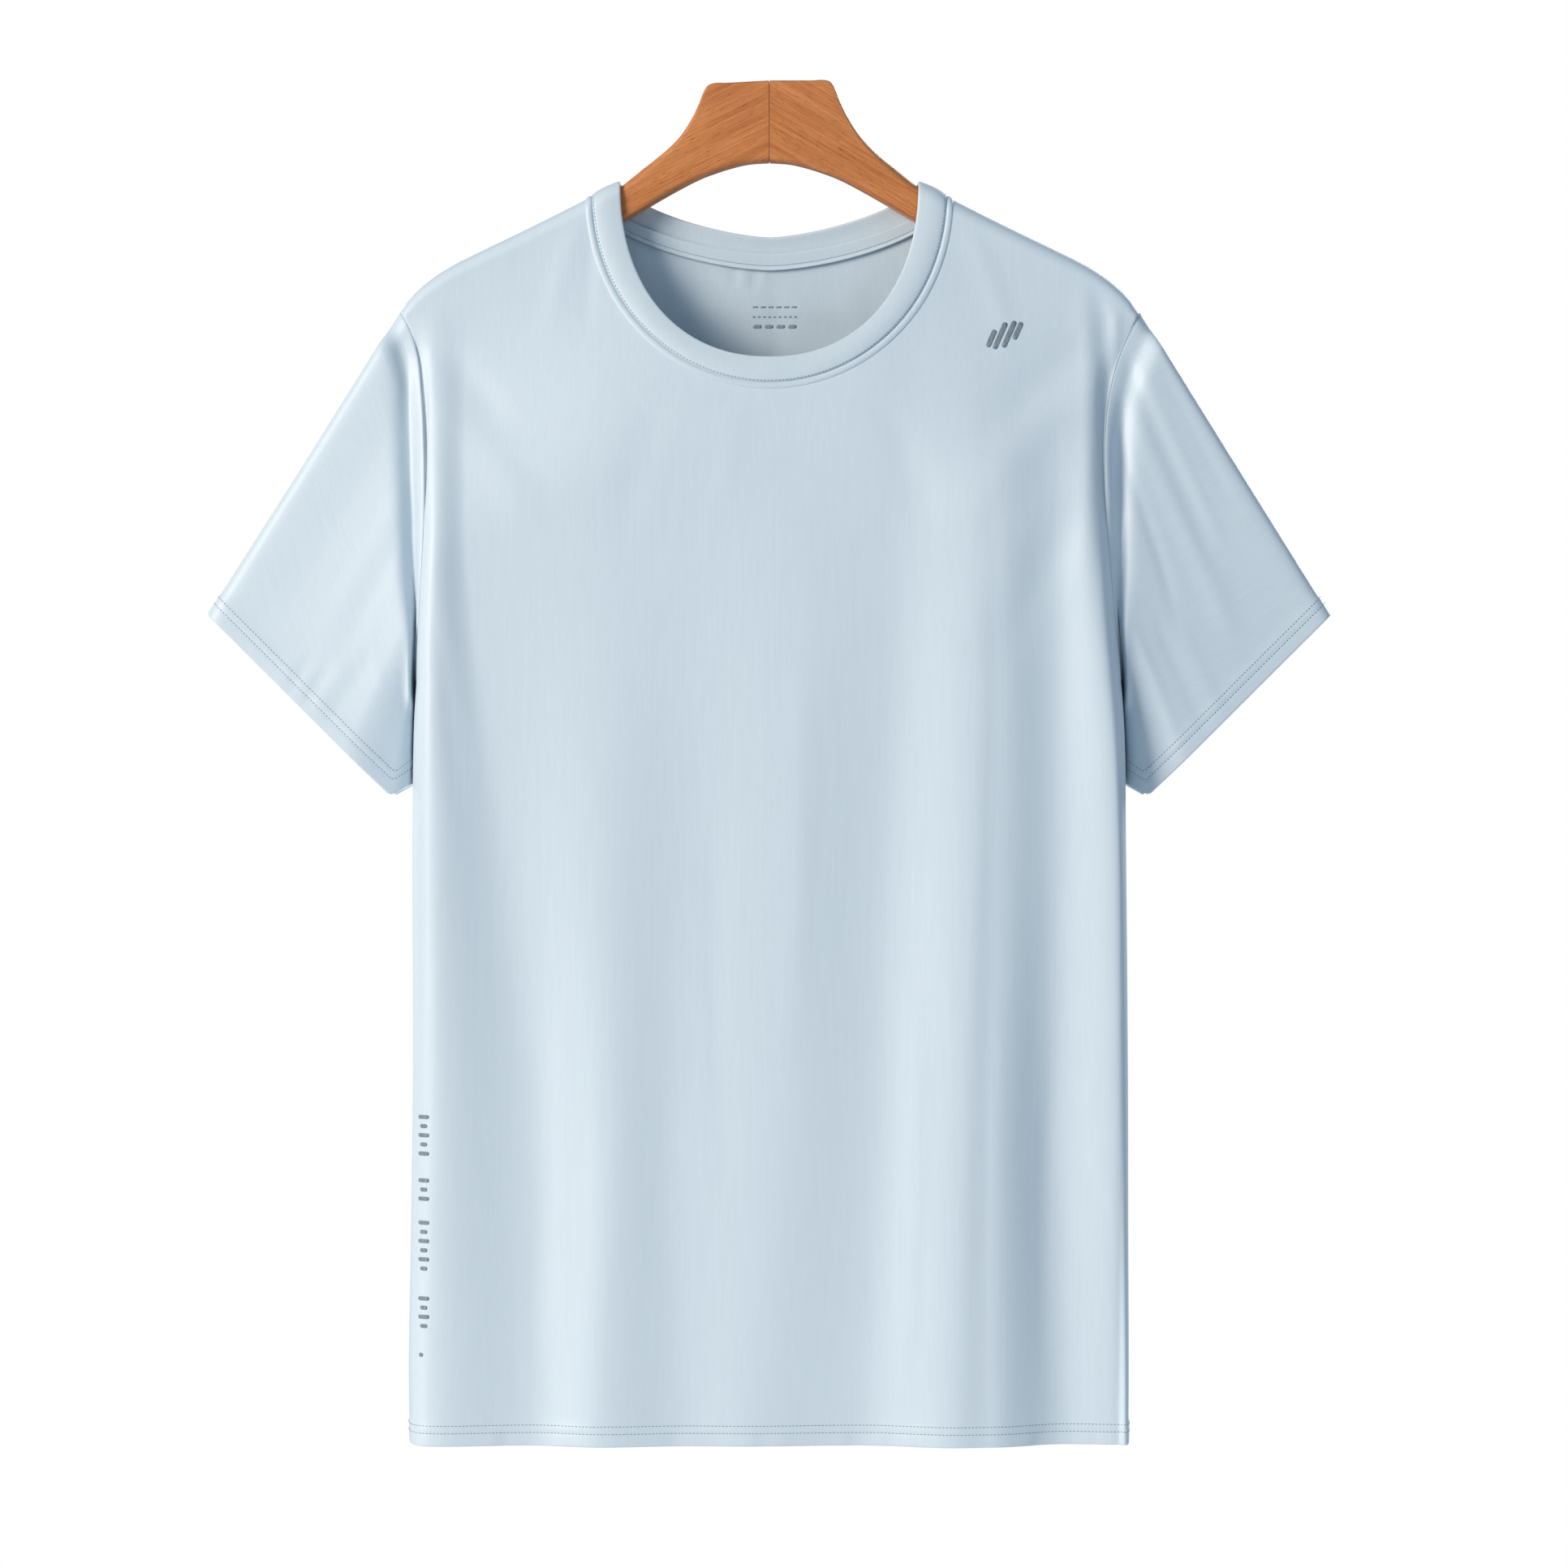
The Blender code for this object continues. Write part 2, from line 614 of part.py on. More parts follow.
def make_object(name, vertices, faces, colour, roughness):
    """Closed mesh object with its faces turned outwards and its own material."""
    mesh = bpy.data.meshes.new(name)
    mesh.from_pydata([tuple(vertex) for vertex in vertices], [], faces)
    work = bmesh.new()
    work.from_mesh(mesh)
    bmesh.ops.recalc_face_normals(work, faces=work.faces)
    work.to_mesh(mesh)
    work.free()
    mesh.shade_smooth()
    mesh.set_sharp_from_angle(angle=math.radians(SHARP_ANGLE))
    mesh.materials.append(make_material(name + "_material", colour, roughness))
    made = bpy.data.objects.new(name, mesh)
    bpy.context.collection.objects.link(made)
    return made


def make_wall(piece):
    """Cloth piece: its grid of points thickened by its wall on both sides."""
    points = piece["points"]
    half = piece["normals"] * piece["walls"][:, None, None] / 2
    rows, cols = points.shape[:2]
    vertices = np.concatenate(((points + half).reshape(-1, 3), (points - half).reshape(-1, 3)))
    faces = wall_faces(vertices, rows, cols, piece["around"])
    return make_object(piece["name"], vertices, faces, piece["colour"], CLOTH_ROUGHNESS)


# --------------------------------------------------------------------- pieces

def make_piece(name, points, turn, around, walls, colour):
    """What sewing and thickening need to know of one cloth piece."""
    walls = np.broadcast_to(walls, points.shape[0]).copy()
    normals = grid_normals(points, around) * turn
    return {
        "name": name,
        "points": points,
        "normals": normals,
        "around": around,
        "walls": walls,
        "colour": colour,
    }


def make_shirt():
    """Front, back, sleeves, neckband and neck tape."""
    front = panel_grid(-1)
    back = panel_grid(1)
    body_walls = np.full(front.shape[0], CLOTH_WALL)
    body_walls[:HEM_ROWS] = HEM_WALL
    pieces = [
        make_piece("front", front, 1, False, body_walls, CLOTH_COLOUR),
        make_piece("back", back, -1, False, body_walls, CLOTH_COLOUR),
    ]
    for name, hand in (("sleeve_left", -1), ("sleeve_right", 1)):
        points = sleeve_grid(front, back, hand)
        walls = np.full(points.shape[0], CLOTH_WALL)
        walls[-HEM_ROWS:] = HEM_WALL
        pieces.append(make_piece(name, points, hand, True, walls, CLOTH_COLOUR))
    pieces.append(make_piece("neckband", band_grid(), 1, True, BAND_WALL, BAND_COLOUR))
    sew(pieces)
    pieces.append(make_piece("neck_tape", tape_grid(), 1, False, TAPE_WALL, TAPE_COLOUR))
    for piece in pieces:
        make_wall(piece)


def arm_section(x, share):
    """Ring of points round the hanger at x, from front foot up and over to back."""
    outline_end = HANGER_OUTLINE[-1][0] * MM
    if x <= outline_end:
        top = flow(x, column(HANGER_OUTLINE, 0), column(HANGER_OUTLINE, 1))
        foot = flow(x, column(HANGER_OUTLINE, 0), column(HANGER_OUTLINE, 2))
    else:
        top = ridge_height(x) - HANGER_SEAT
        foot = top - flow(x, column(ARM_DEPTH, 0), column(ARM_DEPTH, 1))
    middle = (top + foot) / 2
    half_height = (top - foot) / 2 * share
    half_width_y = HANGER_THICKNESS / 2 * share
    rounding = ease((x - HEAD_END_X) / HEAD_BLEND)
    shoulder_radius = (HEAD_EDGE_RADIUS + (HANGER_THICKNESS / 2 - HEAD_EDGE_RADIUS) * rounding) * share
    foot_radius = FOOT_EDGE_RADIUS * share
    ring_points = []
    for side in (-1, 1):
        foot_arc = []
        for angle in FOOT_ANGLES:
            y = half_width_y - foot_radius + foot_radius * math.sin(math.radians(angle))
            z = middle - half_height + foot_radius - foot_radius * math.cos(math.radians(angle))
            foot_arc.append((side * y, z))
        top_arc = []
        for angle in TOP_ANGLES:
            y = half_width_y - shoulder_radius + shoulder_radius * math.cos(math.radians(angle))
            z = middle + half_height - shoulder_radius + shoulder_radius * math.sin(math.radians(angle))
            top_arc.append((side * y, z))
        half_ring = foot_arc + top_arc
        ring_points += half_ring if side < 0 else half_ring[::-1]
    return [(x, y, z) for y, z in ring_points]


def hanger_half(name, hand):
    """One half of the hanger, from the mitre at the head to its rounded end."""
    stations = [(MITRE_GAP / 2, 1.0)]
    stations += [(row[0] * MM, 1.0) for row in HANGER_OUTLINE[1:]]
    stations += [(x * MM, 1.0) for x in ARM_STATIONS]
    stations += [(HANGER_REACH - short * MM, share) for short, share in ARM_END]
    vertices = []
    for x, share in stations:
        vertices += [(hand * px, py, pz) for px, py, pz in arm_section(x, share)]
    size = len(FOOT_ANGLES + TOP_ANGLES) * 2
    faces = []
    for row in range(len(stations) - 1):
        for col in range(size):
            after = (col + 1) % size
            low, high = row * size, (row + 1) * size
            faces.append([low + col, low + after, high + after, high + col])
    faces.append(list(range(size)))
    faces.append(list(range(len(vertices) - size, len(vertices))))
    half = make_object(name, vertices, faces, WOOD_COLOUR, WOOD_ROUGHNESS)
    cut_hook_hole(half)
    return half


def cut_hook_hole(half):
    """Half of the blind hole at the mitre where the hook screws in."""
    hole = half.modifiers.new("hook_hole", "BOOLEAN")
    hole.operation = "DIFFERENCE"
    hole.object = bpy.data.objects["hook_hole_cutter"]


def make_hole_cutter():
    """Round cutter of the hook hole, left out of the build."""
    work = bmesh.new()
    bmesh.ops.create_cone(
        work,
        cap_ends=True,
        segments=HOLE_SEGMENTS,
        radius1=HOOK_HOLE_RADIUS,
        radius2=HOOK_HOLE_RADIUS,
        depth=HOOK_HOLE_DEPTH * 2,
    )
    mesh = bpy.data.meshes.new("hook_hole_cutter")
    work.to_mesh(mesh)
    work.free()
    cutter = bpy.data.objects.new("hook_hole_cutter", mesh)
    cutter.hide_render = True
    cutter.display_type = "WIRE"
    bpy.context.collection.objects.link(cutter)


def make_hanger():
    """Two mitred halves that share the hook hole."""
    make_hole_cutter()
    hanger_half("hanger_left", -1)
    hanger_half("hanger_right", 1)


def main():
    """Empty the scene and build the shirt on its hanger."""
    for item in list(bpy.data.objects):
        bpy.data.objects.remove(item, do_unlink=True)
    make_shirt()
    make_hanger()


main()
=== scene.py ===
"""Looks of the sports t-shirt on its wooden hanger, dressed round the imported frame.

Frame: metres, +Z up, -Y is the front of the shirt.  Each cloth piece is a thin
shell on the form of its solid, with its own finer folds, hems and stitches.
"""
import math

import bmesh
import bpy
import numpy as np
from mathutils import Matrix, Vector


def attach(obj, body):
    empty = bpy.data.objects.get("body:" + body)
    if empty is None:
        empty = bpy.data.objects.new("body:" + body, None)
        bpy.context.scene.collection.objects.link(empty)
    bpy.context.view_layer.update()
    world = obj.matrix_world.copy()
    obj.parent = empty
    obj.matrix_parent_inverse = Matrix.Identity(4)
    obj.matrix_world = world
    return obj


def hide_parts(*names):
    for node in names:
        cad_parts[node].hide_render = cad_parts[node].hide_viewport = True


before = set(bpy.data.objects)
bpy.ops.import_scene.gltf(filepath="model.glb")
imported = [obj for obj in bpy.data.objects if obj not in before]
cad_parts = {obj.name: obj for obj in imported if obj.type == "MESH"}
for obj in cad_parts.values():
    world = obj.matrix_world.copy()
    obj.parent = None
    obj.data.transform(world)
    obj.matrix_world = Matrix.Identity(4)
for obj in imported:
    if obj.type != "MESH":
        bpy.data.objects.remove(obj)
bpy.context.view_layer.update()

MM = 0.001
FRONT, BACK = -1, 1
LEFT, RIGHT = -1, 1

# ---- form, as the solids
SHELL = 0.8 * MM
HEM_SHELL = 1.6 * MM
BAND_SHELL = 2.0 * MM
HEM_Z = -779 * MM
HEM_ROWS = (7.4, 11.6)
HEM_DEPTH = HEM_ROWS[1] * MM
UNDERARM_Z = -345 * MM
SHOULDER_TIP_Z = -133 * MM
RIDGE_RADIUS = 8.7 * MM
SHOULDER_FALL = 170 * MM
ARMHOLE_TIP_DEPTH = 8.2 * MM
TIP_BLEND = 45 * MM
ARMHOLE_BELLY = {FRONT: 17.0 * MM, BACK: 7.0 * MM}
ARMHOLE_FOOT_HEIGHT = 60 * MM
NECK_POINT_X = 101 * MM
NECK_LOW_Z = {FRONT: -174.6 * MM, BACK: -102.5 * MM}
NECK_SQUARENESS = {FRONT: 2, BACK: 1.6}
BAND_POINT_X = 85.3 * MM
BAND_LOW_Z = {FRONT: -160 * MM, BACK: -88 * MM}
BAND_SQUARENESS = {FRONT: 2.2, BACK: 1.5}
TAPE_WIDTH = 9.4 * MM
TAPE_REACH = 90 * MM
TAPE_LIFT = 1.85 * MM
CUFF_TOP = (321.8 * MM, -306 * MM)
CUFF_LOW = (216.9 * MM, -409.6 * MM)
CUFF_SEAM = (204.0 * MM, -402.5 * MM)
CUFF_CORNER_SHARE = 0.93
SLEEVE_HALF_DEPTH = 27 * MM
CUFF_HALF_DEPTH = 19 * MM
SLEEVE_ROUNDNESS = 26.0
VALLEY_FROM_SEAM = (14.5 * MM, 5 * MM)
VALLEY_RISE = {LEFT: 14 * MM, RIGHT: 15 * MM}
VALLEY_DEPTH = {LEFT: 9 * MM, RIGHT: 6.5 * MM}
UNDERARM_STEP = 1.6 * MM
UNDERARM_BACK = 9.0 * MM
HANGER_THICKNESS = 13 * MM
HANGER_SEAT = 1.85 * MM
HANGER_REACH = 182 * MM
LEFT_HEAD_DROP = 1.9 * MM
HEAD_RADIUS = 2.6 * MM
FOOT_RADIUS = 3 * MM
MITRE_GAP = 0.05 * MM
BORE_RADIUS = 2.4 * MM
BORE_DEPTH = 22 * MM

SIDE_LINE = (
    (-779, 205.5, 205), (-740, 206.2, 205.2), (-660, 204.9, 204.9), (-560, 203.7, 204.6),
    (-430, 204, 203.4), (-371, 203.2, 202.6), (-339, 201.6, 200.4), (-296, 198.4, 195.2),
    (-243, 195.9, 191.2), (-200, 197, 191.6), (-179, 198.6, 194.5), (-157, 201.4, 200.9),
    (-141, 206.8, 208.4), (-133, 211.6, 212.6),
)
SHOULDER_RIDGE = (
    (0, -42), (60, -47.5), (91.6, -61.2), (108, -69.8), (127, -79.4), (146, -88.7),
    (166, -98.3), (184, -107.5), (197.6, -116.8), (206.5, -125.4), (212, -133),
)
BODY_DEPTH = (
    (-779, 31, 28), (-600, 33, 31), (-450, 35, 34), (-350, 36, 36), (-250, 33, 35),
    (-180, 28, 31), (-130, 23, 26),
)
# Crests and troughs from left to right: x at each height, then how far out.
FOLD_HEIGHTS = (-779 * MM, -600 * MM, -440 * MM, -279 * MM, -185 * MM, -125 * MM)
FRONT_FOLDS = (
    (-188, -189, -194, -194, -192.5, -0.6, 0, 1.2, 1.2, 2.2),
    (-134.5, -135, -151, -171, -173, -6.2, -6.7, -5.8, -5.2, -1.8),
    (-96, -88, -90, -83, -90, 2.4, 2.6, 0.8, -2.4, 0.8),
    (-45.6, -52.5, -45.6, -50, -52, -3.1, -0.8, -1.5, -2.4, 0.4),
    (-15.3, 8, 12.6, 19.5, 12, -1.5, 2.2, 1.6, -1, 0),
    (52, 59, 63.7, 70.7, 72, -6.3, -1.2, -1.8, -2.2, 0.8),
    (106, 111, 117, 121, 122, 4.4, 8.4, 6.7, 3, 3.6),
    (125.5, 127, 130, 129.5, 131, 2.4, 6.4, 5.1, 2.8, 3.8),
    (169.3, 164.6, 163.7, 162, 161, -11.4, -6.6, -2.4, -2.6, 3.4),
    (198.5, 198.5, 197.5, 188, 185, -8.8, -0.6, 3.9, 2.2, 4.6),
)
BACK_FOLDS = (
    (-184, -186, -186, -188, -188, 1.4, 1.2, 1.6, 1, 2),
    (-151, -147, -146, -150, -158, -2.2, -2.8, -3, -2.4, 0.4),
    (-98, -101, -104, -112, -110, 7, 6.4, 5, 2, 1),
    (-46, -52, -58, -70, -66, -1.2, 0, 0.4, -0.4, 0),
    (2, -6, -12, -22, -16, 3.4, 3, 2.4, 0.8, 0.6),
    (48, 42, 38, 30, 34, 0, 0.2, -0.2, -0.6, 0.2),
    (92, 87, 84, 88, 92, 5, 4.8, 4.4, 1.6, 1),
    (138, 139, 140, 146, 152, -2.4, -2.6, -2.2, -2.8, 0.6),
    (186, 185, 184, 186, 184, 1.4, 2, 2.2, 1, 2.6),
)

# Creases: soft ridges (out > 0) and troughs (out < 0), each along a line from
# its start to its end, bowed sideways, with a width to its left and right.
#   x from  z from  x to   z to   bow   left  right  out
FRONT_CREASES = (
    (130, -365, 126, -755, 0, 2.4, 3, 0.3),
    (189, -108, 187, -300, 3, 5.5, 6.5, -1.3),
    (196.5, -118, 193.5, -250, 3, 4, 3, 0.8),
    (181, -108, 178, -290, 2, 6, 5, 0.7),
    (206, -142, 124, -212, -8, 12, 14, -1.1),
    (196, -172, 110, -258, -10, 13, 16, 1),
    (192, -232, 130, -345, -8, 12, 14, -0.9),
    (-204, -146, -150, -204, 6, 9, 12, -0.8),
    (-197, -180, -132, -262, 8, 10, 13, 0.7),
    (-196, -290, -176, -420, 3, 6, 7, -0.6),
    (-108, -76, -126, -150, -2, 7, 6, 0.5),
    (-98, -84, -104, -150, -2, 4, 4, -0.35),
    (112, -80, 138, -160, 3, 6, 7, 0.5),
    (60, -182, 92, -262, 3, 9, 10, -0.5),
    (-58, -182, -84, -268, -3, 8, 11, -0.45),
    (-20, -184, -26, -246, 1, 6, 7, 0.3),
    (18, -330, 12, -560, 3, 7, 9, 0.4),
    (-30, -420, -22, -650, -3, 8, 7, -0.4),
    (-118, -520, -120, -752, 2, 6, 8, 0.4),
    (84, -520, 76, -762, 2, 5, 8, 0.5),
    (160, -560, 156, -758, -2, 5, 4, -0.4),
)
BACK_CREASES = (
    (-189, -108, -186, -300, -3, 6, 7, -1),
    (-206, -142, -130, -220, 8, 12, 14, -1),
    (-196, -176, -112, -262, 9, 13, 15, 0.9),
    (206, -142, 140, -206, -7, 10, 12, -0.9),
    (196, -180, 122, -270, -9, 12, 14, 0.8),
    (192, -250, 150, -360, -6, 10, 10, -0.7),
    (-192, -240, -146, -350, 6, 10, 11, -0.8),
    (-40, -112, -62, -190, -3, 8, 9, 0.5),
    (44, -112, 60, -186, 3, 7, 9, -0.5),
    (4, -112, 2, -180, 1, 6, 5, 0.35),
    (-21, -104, -20, -117, 0, 1.3, 1.6, 0.5),
    (-15, -104, -14.6, -115, 0, 1.3, 1.4, -0.4),
    (-9, -104, -9.4, -119, 0, 1.4, 1.2, 0.5),
    (-3, -104, -2, -114, 0, 1.2, 1.4, -0.35),
    (-120, -400, -126, -752, 3, 6, 9, -0.5),
    (-84, -470, -76, -760, -3, 6, 8, 0.5),
    (30, -380, 22, -640, 3, 7, 9, 0.5),
    (112, -430, 118, -756, -3, 5, 8, -0.5),
    (160, -500, 164, -750, 2, 5, 6, 0.4),
)
# Small puckers between the hem's stitches and its edge: place, width, out.
HEM_PUCKERS = (
    (-158, 3, 0.35), (-150, 2.4, -0.3), (-118, 3.4, 0.25), (-62, 2.2, 0.35), (-55, 2.6, -0.3),
    (-44, 2.2, 0.3), (-31, 3.2, -0.3), (-12, 2.2, 0.35), (-3, 2.6, -0.35), (8, 2.4, 0.3),
    (41, 2.4, 0.35), (50, 3, -0.3), (63, 2.2, 0.35), (72, 2.6, -0.3), (98, 3.2, 0.25),
    (146, 2.4, 0.4), (154, 2.6, -0.35), (168, 2.2, 0.35), (186, 2.8, -0.3),
)
# Creases of a sleeve's front and back: across is the share from the outer fold
# to the underarm, way the share from armhole to cuff.
#   across from  way from  across to  way to   width  out
SLEEVE_CREASES = {
    (LEFT, FRONT): (
        (0.4, 0, 0.42, 0.8, 0.05, 0.35),
        (0.5, 0.02, 0.52, 0.7, 0.04, -0.25),
        (0.22, 0.06, 0.25, 0.75, 0.05, -0.25),
        (0.64, 0.55, 0.6, 0.99, 0.03, -0.35),
        (0.56, 0.7, 0.53, 0.99, 0.025, 0.35),
        (0.5, 0.8, 0.49, 1, 0.014, -0.3),
        (0.46, 0.84, 0.45, 1, 0.012, 0.35),
        (0.42, 0.82, 0.415, 1, 0.012, -0.3),
        (0.38, 0.86, 0.375, 1, 0.012, 0.3),
        (0.73, 0.5, 0.71, 0.99, 0.03, 0.3),
        (0.12, 0.2, 0.13, 0.95, 0.04, 0.2),
    ),
    (LEFT, BACK): (
        (0.3, 0.02, 0.33, 0.75, 0.05, 0.8),
        (0.44, 0.02, 0.48, 0.7, 0.05, -0.7),
        (0.6, 0.1, 0.62, 0.9, 0.04, 0.6),
        (0.76, 0.3, 0.74, 0.99, 0.035, -0.6),
    ),
    (RIGHT, FRONT): (
        (0.1, 0, 0.2, 0.62, 0.018, 1),
        (0.13, 0, 0.27, 0.62, 0.03, -0.8),
        (0.19, 0, 0.36, 0.85, 0.045, 1.3),
        (0.05, 0.02, 0.1, 0.6, 0.022, -0.8),
        (0.3, 0.02, 0.5, 0.55, 0.03, -0.9),
        (0.6, 0.45, 0.63, 0.99, 0.03, -0.5),
        (0.52, 0.6, 0.55, 0.99, 0.025, 0.4),
        (0.72, 0.3, 0.76, 0.98, 0.03, 0.5),
    ),
    (RIGHT, BACK): (
        (0.12, 0, 0.24, 0.7, 0.03, 0.8),
        (0.2, 0.02, 0.38, 0.8, 0.04, -0.8),
        (0.46, 0.05, 0.52, 0.9, 0.05, 0.7),
        (0.7, 0.25, 0.72, 0.99, 0.04, -0.6),
    ),
}

# Hanger outline beside the neck (mm); past it the top follows the ridge.
HANGER_OUTLINE = (
    (0, 0, -46.5), (12, 0, -47.4), (24, 0, -50.3), (33, 0, -53.3), (35.5, -1.3, -54.2),
    (37.5, -4.3, -55), (40, -10.5, -56.1), (43, -17.2, -57.5), (46.5, -23.4, -59.3),
    (51, -30.2, -61.7), (57, -37.3, -65), (64, -43.8, -69), (73, -50.9, -74.4),
    (84, -59.7, -80.6),
)
ARM_DEPTH = ((84, 20.9), (110, 21.5), (140, 19.5), (170, 15.5), (190, 11))
ARM_END = ((6, 1), (3.5, 0.97), (1.8, 0.88), (0.7, 0.7), (0.15, 0.42), (0, 0.2))
# Bevel of the mitre: distance from it, then inset of the section.
MITRE_EDGE = ((0, 0.9), (0.1, 0.5), (0.16, 0.12), (0.3, 0))
# Runs of sections along the arm: from, to, how many.
ARM_STEPS = ((1.5, 32, 18), (32.4, 50, 44), (52, 84, 17), (87, 174, 30))

# Rows and columns of the panels, then the steps between them.
SIDE_STEP = 5.0
ARMHOLE_ROWS = (212, 209, 202, 190, 174, 156, 138, 119, 100, 81, 62, 44, 28, 14, 5.5, 1.5, 0)
SHOULDER_NEAR_NECK = (30, 26, 22, 19, 16, 13.5, 11, 9, 7, 5.5, 4, 2.8, 1.8, 0.9, 0)
HEM_EDGE = (0, 0.12, 0.35, 0.8, 1.6, 2.8, 4.2, 5.6, 6.6, 7.4, 8.2, 9.2, 10.4, 11.6, 12.6, 14)
HEM_PLACES = (0, 4, 10, 19, 31, 46)
# How flat the panels are across: left flank, right flank, chest.
FLATNESS = {FRONT: (40, 110, 48), BACK: (12, 12, 20)}
SEAM_BLEND = 14 * MM
SEAM_GROOVE = 0.22 * MM
NECK_DROPS = (0.7, 2.6, 6)
NECK_SHARES = (0.05, 0.11, 0.18, 0.27, 0.37, 0.48, 0.6, 0.73, 0.86, 1)
PANEL_FINER = 6
ARMHOLE_FINER = 4
SLEEVE_ROWS = 42


# ---- small maths

def ease(share):
    """Rise smoothly from 0 to 1."""
    share = np.clip(share, 0, 1)
    return share * share * (3.0 - 2.0 * share)


def quarter(share):
    """Rise from 0 to 1 along a quarter circle, steep at first."""
    return np.sqrt(1 - (1 - np.clip(share, 0, 1)) ** 2)


def flow(at, known, values):
    """Values of a smooth curve through (known, values)."""
    known = np.asarray(known, float)
    values = np.asarray(values, float)
    at = np.clip(at, known[0], known[-1])
    steps = np.diff(known)
    slopes = np.diff(values) / steps
    tangents = np.concatenate(([slopes[0]], (slopes[:-1] + slopes[1:]) / 2, [slopes[-1]]))
    index = np.clip(np.searchsorted(known, at, side="right") - 1, 0, len(steps) - 1)
    step = steps[index]
    t = (at - known[index]) / step
    rise = values[index + 1] - values[index]
    start = tangents[index] * step
    end = tangents[index + 1] * step
    bend = start * t * (1 - t) ** 2 - end * t * t * (1 - t)
    return values[index] + rise * ease(t) + bend


def column(table, index):
    """One column of a table in millimetres, as metres."""
    return np.array([row[index] for row in table]) * MM


def profile(at, table, index=1):
    """Smooth curve through two columns of a table in millimetres."""
    return flow(at, column(table, 0), column(table, index))


def lengths(path):
    """Length of a path so far, at each of its points."""
    steps = np.linalg.norm(np.diff(path, axis=0), axis=1)
    return np.concatenate(([0.0], np.cumsum(steps)))


def finer(values, times):
    """The same run of values with that many times its steps."""
    values = np.asarray(values, float)
    spots = np.arange((len(values) - 1) * times + 1) / times
    return np.interp(spots, np.arange(len(values)), values)


def lens(share, along=5.0):
    """Height of a flattened tube's wall: 1 in the middle, 0 at either edge."""
    return (1 - np.clip(np.abs(share), 0, 1) ** along) ** 0.5


def unit(vectors):
    """The vectors at length 1."""
    return vectors / np.maximum(np.linalg.norm(vectors, axis=-1, keepdims=True), 1e-12)


# ---- body form

def half_width(x, z):
    """Distance from the middle to the side or armhole seam at height z."""
    return np.where(x < 0, profile(z, SIDE_LINE, 1), profile(z, SIDE_LINE, 2))


def ridge_height(x):
    """Height of the shoulder ridge at x."""
    return profile(np.abs(x), SHOULDER_RIDGE)


def armhole_depth(z, side):
    """How far the armhole seam stands out from the side seams."""
    above = np.clip(z - UNDERARM_Z, 0.0, None)
    below = np.clip(SHOULDER_TIP_Z - z, 0.0, None)
    height = SHOULDER_TIP_Z - UNDERARM_Z
    belly = ARMHOLE_TIP_DEPTH + ARMHOLE_BELLY[side] * ease(below / (0.5 * height))
    foot = quarter(above / ARMHOLE_FOOT_HEIGHT) ** 1.5
    return belly * foot * quarter(below / ARMHOLE_TIP_DEPTH)


def fold_relief(x, z, folds):
    """How far the folds stand out at x, z, eased from crest to trough."""
    heights = np.array(FOLD_HEIGHTS)
    edge = half_width(x, z)
    places = [-edge]
    reliefs = [np.zeros_like(edge)]
    for row in np.array(folds) * MM:
        middle = len(row) // 2
        places.append(flow(z, heights, (*row[:middle], row[middle - 1])))
        reliefs.append(flow(z, heights, (*row[middle:], 0.0)))
    places.append(edge)
    reliefs.append(reliefs[0])
    relief = reliefs[0]
    for start, end, low, high in zip(places, places[1:], reliefs, reliefs[1:]):
        share = (x - start) / np.maximum(end - start, 1 * MM)
        inside = (share >= 0.0) & (share <= 1.0)
        relief = np.where(inside, low + (high - low) * ease(share), relief)
    return relief


def crease_relief(x, z, creases):
    """Sum of the ridges and troughs of a table of creases, at x, z."""
    relief = np.zeros_like(x)
    for x0, z0, x1, z1, bow, left, right, out in np.array(creases) * MM:
        run = np.array([x1 - x0, z1 - z0])
        length = np.hypot(*run)
        along = ((x - x0) * run[0] + (z - z0) * run[1]) / length**2
        aside = ((x - x0) * -run[1] + (z - z0) * run[0]) / length
        aside = aside - bow * 4.0 * along * (1 - along)
        width = np.where(aside > 0, left, right)
        fade = ease((along + 0.08) / 0.3) * ease((1.08 - along) / 0.4)
        relief += out * np.exp(-((aside / width) ** 2)) * fade
    return relief


def stitch_grooves(from_edge, depth, width):
    """Grooves under the two rows of stitches beside a turned edge."""
    return sum(
        depth * np.exp(-(((from_edge - row * MM) / width) ** 2)) for row in HEM_ROWS
    )


def hem_relief(x, z, out_of_step):
    """Grooves under the hem's stitches, and puckers at its edge."""
    above = z - HEM_Z
    relief = -stitch_grooves(above, 0.28 * MM, 1.1 * MM)
    relief += 0.25 * MM * ease(1 - (above - HEM_DEPTH) / (1.5 * MM)) * (above < 16 * MM)
    low = ease((HEM_DEPTH - above) / (6 * MM))
    for place, width, out in HEM_PUCKERS:
        aside = (x - (place + out_of_step) * MM) / (width * MM)
        relief += out * MM * np.exp(-(aside**2)) * low
    return relief


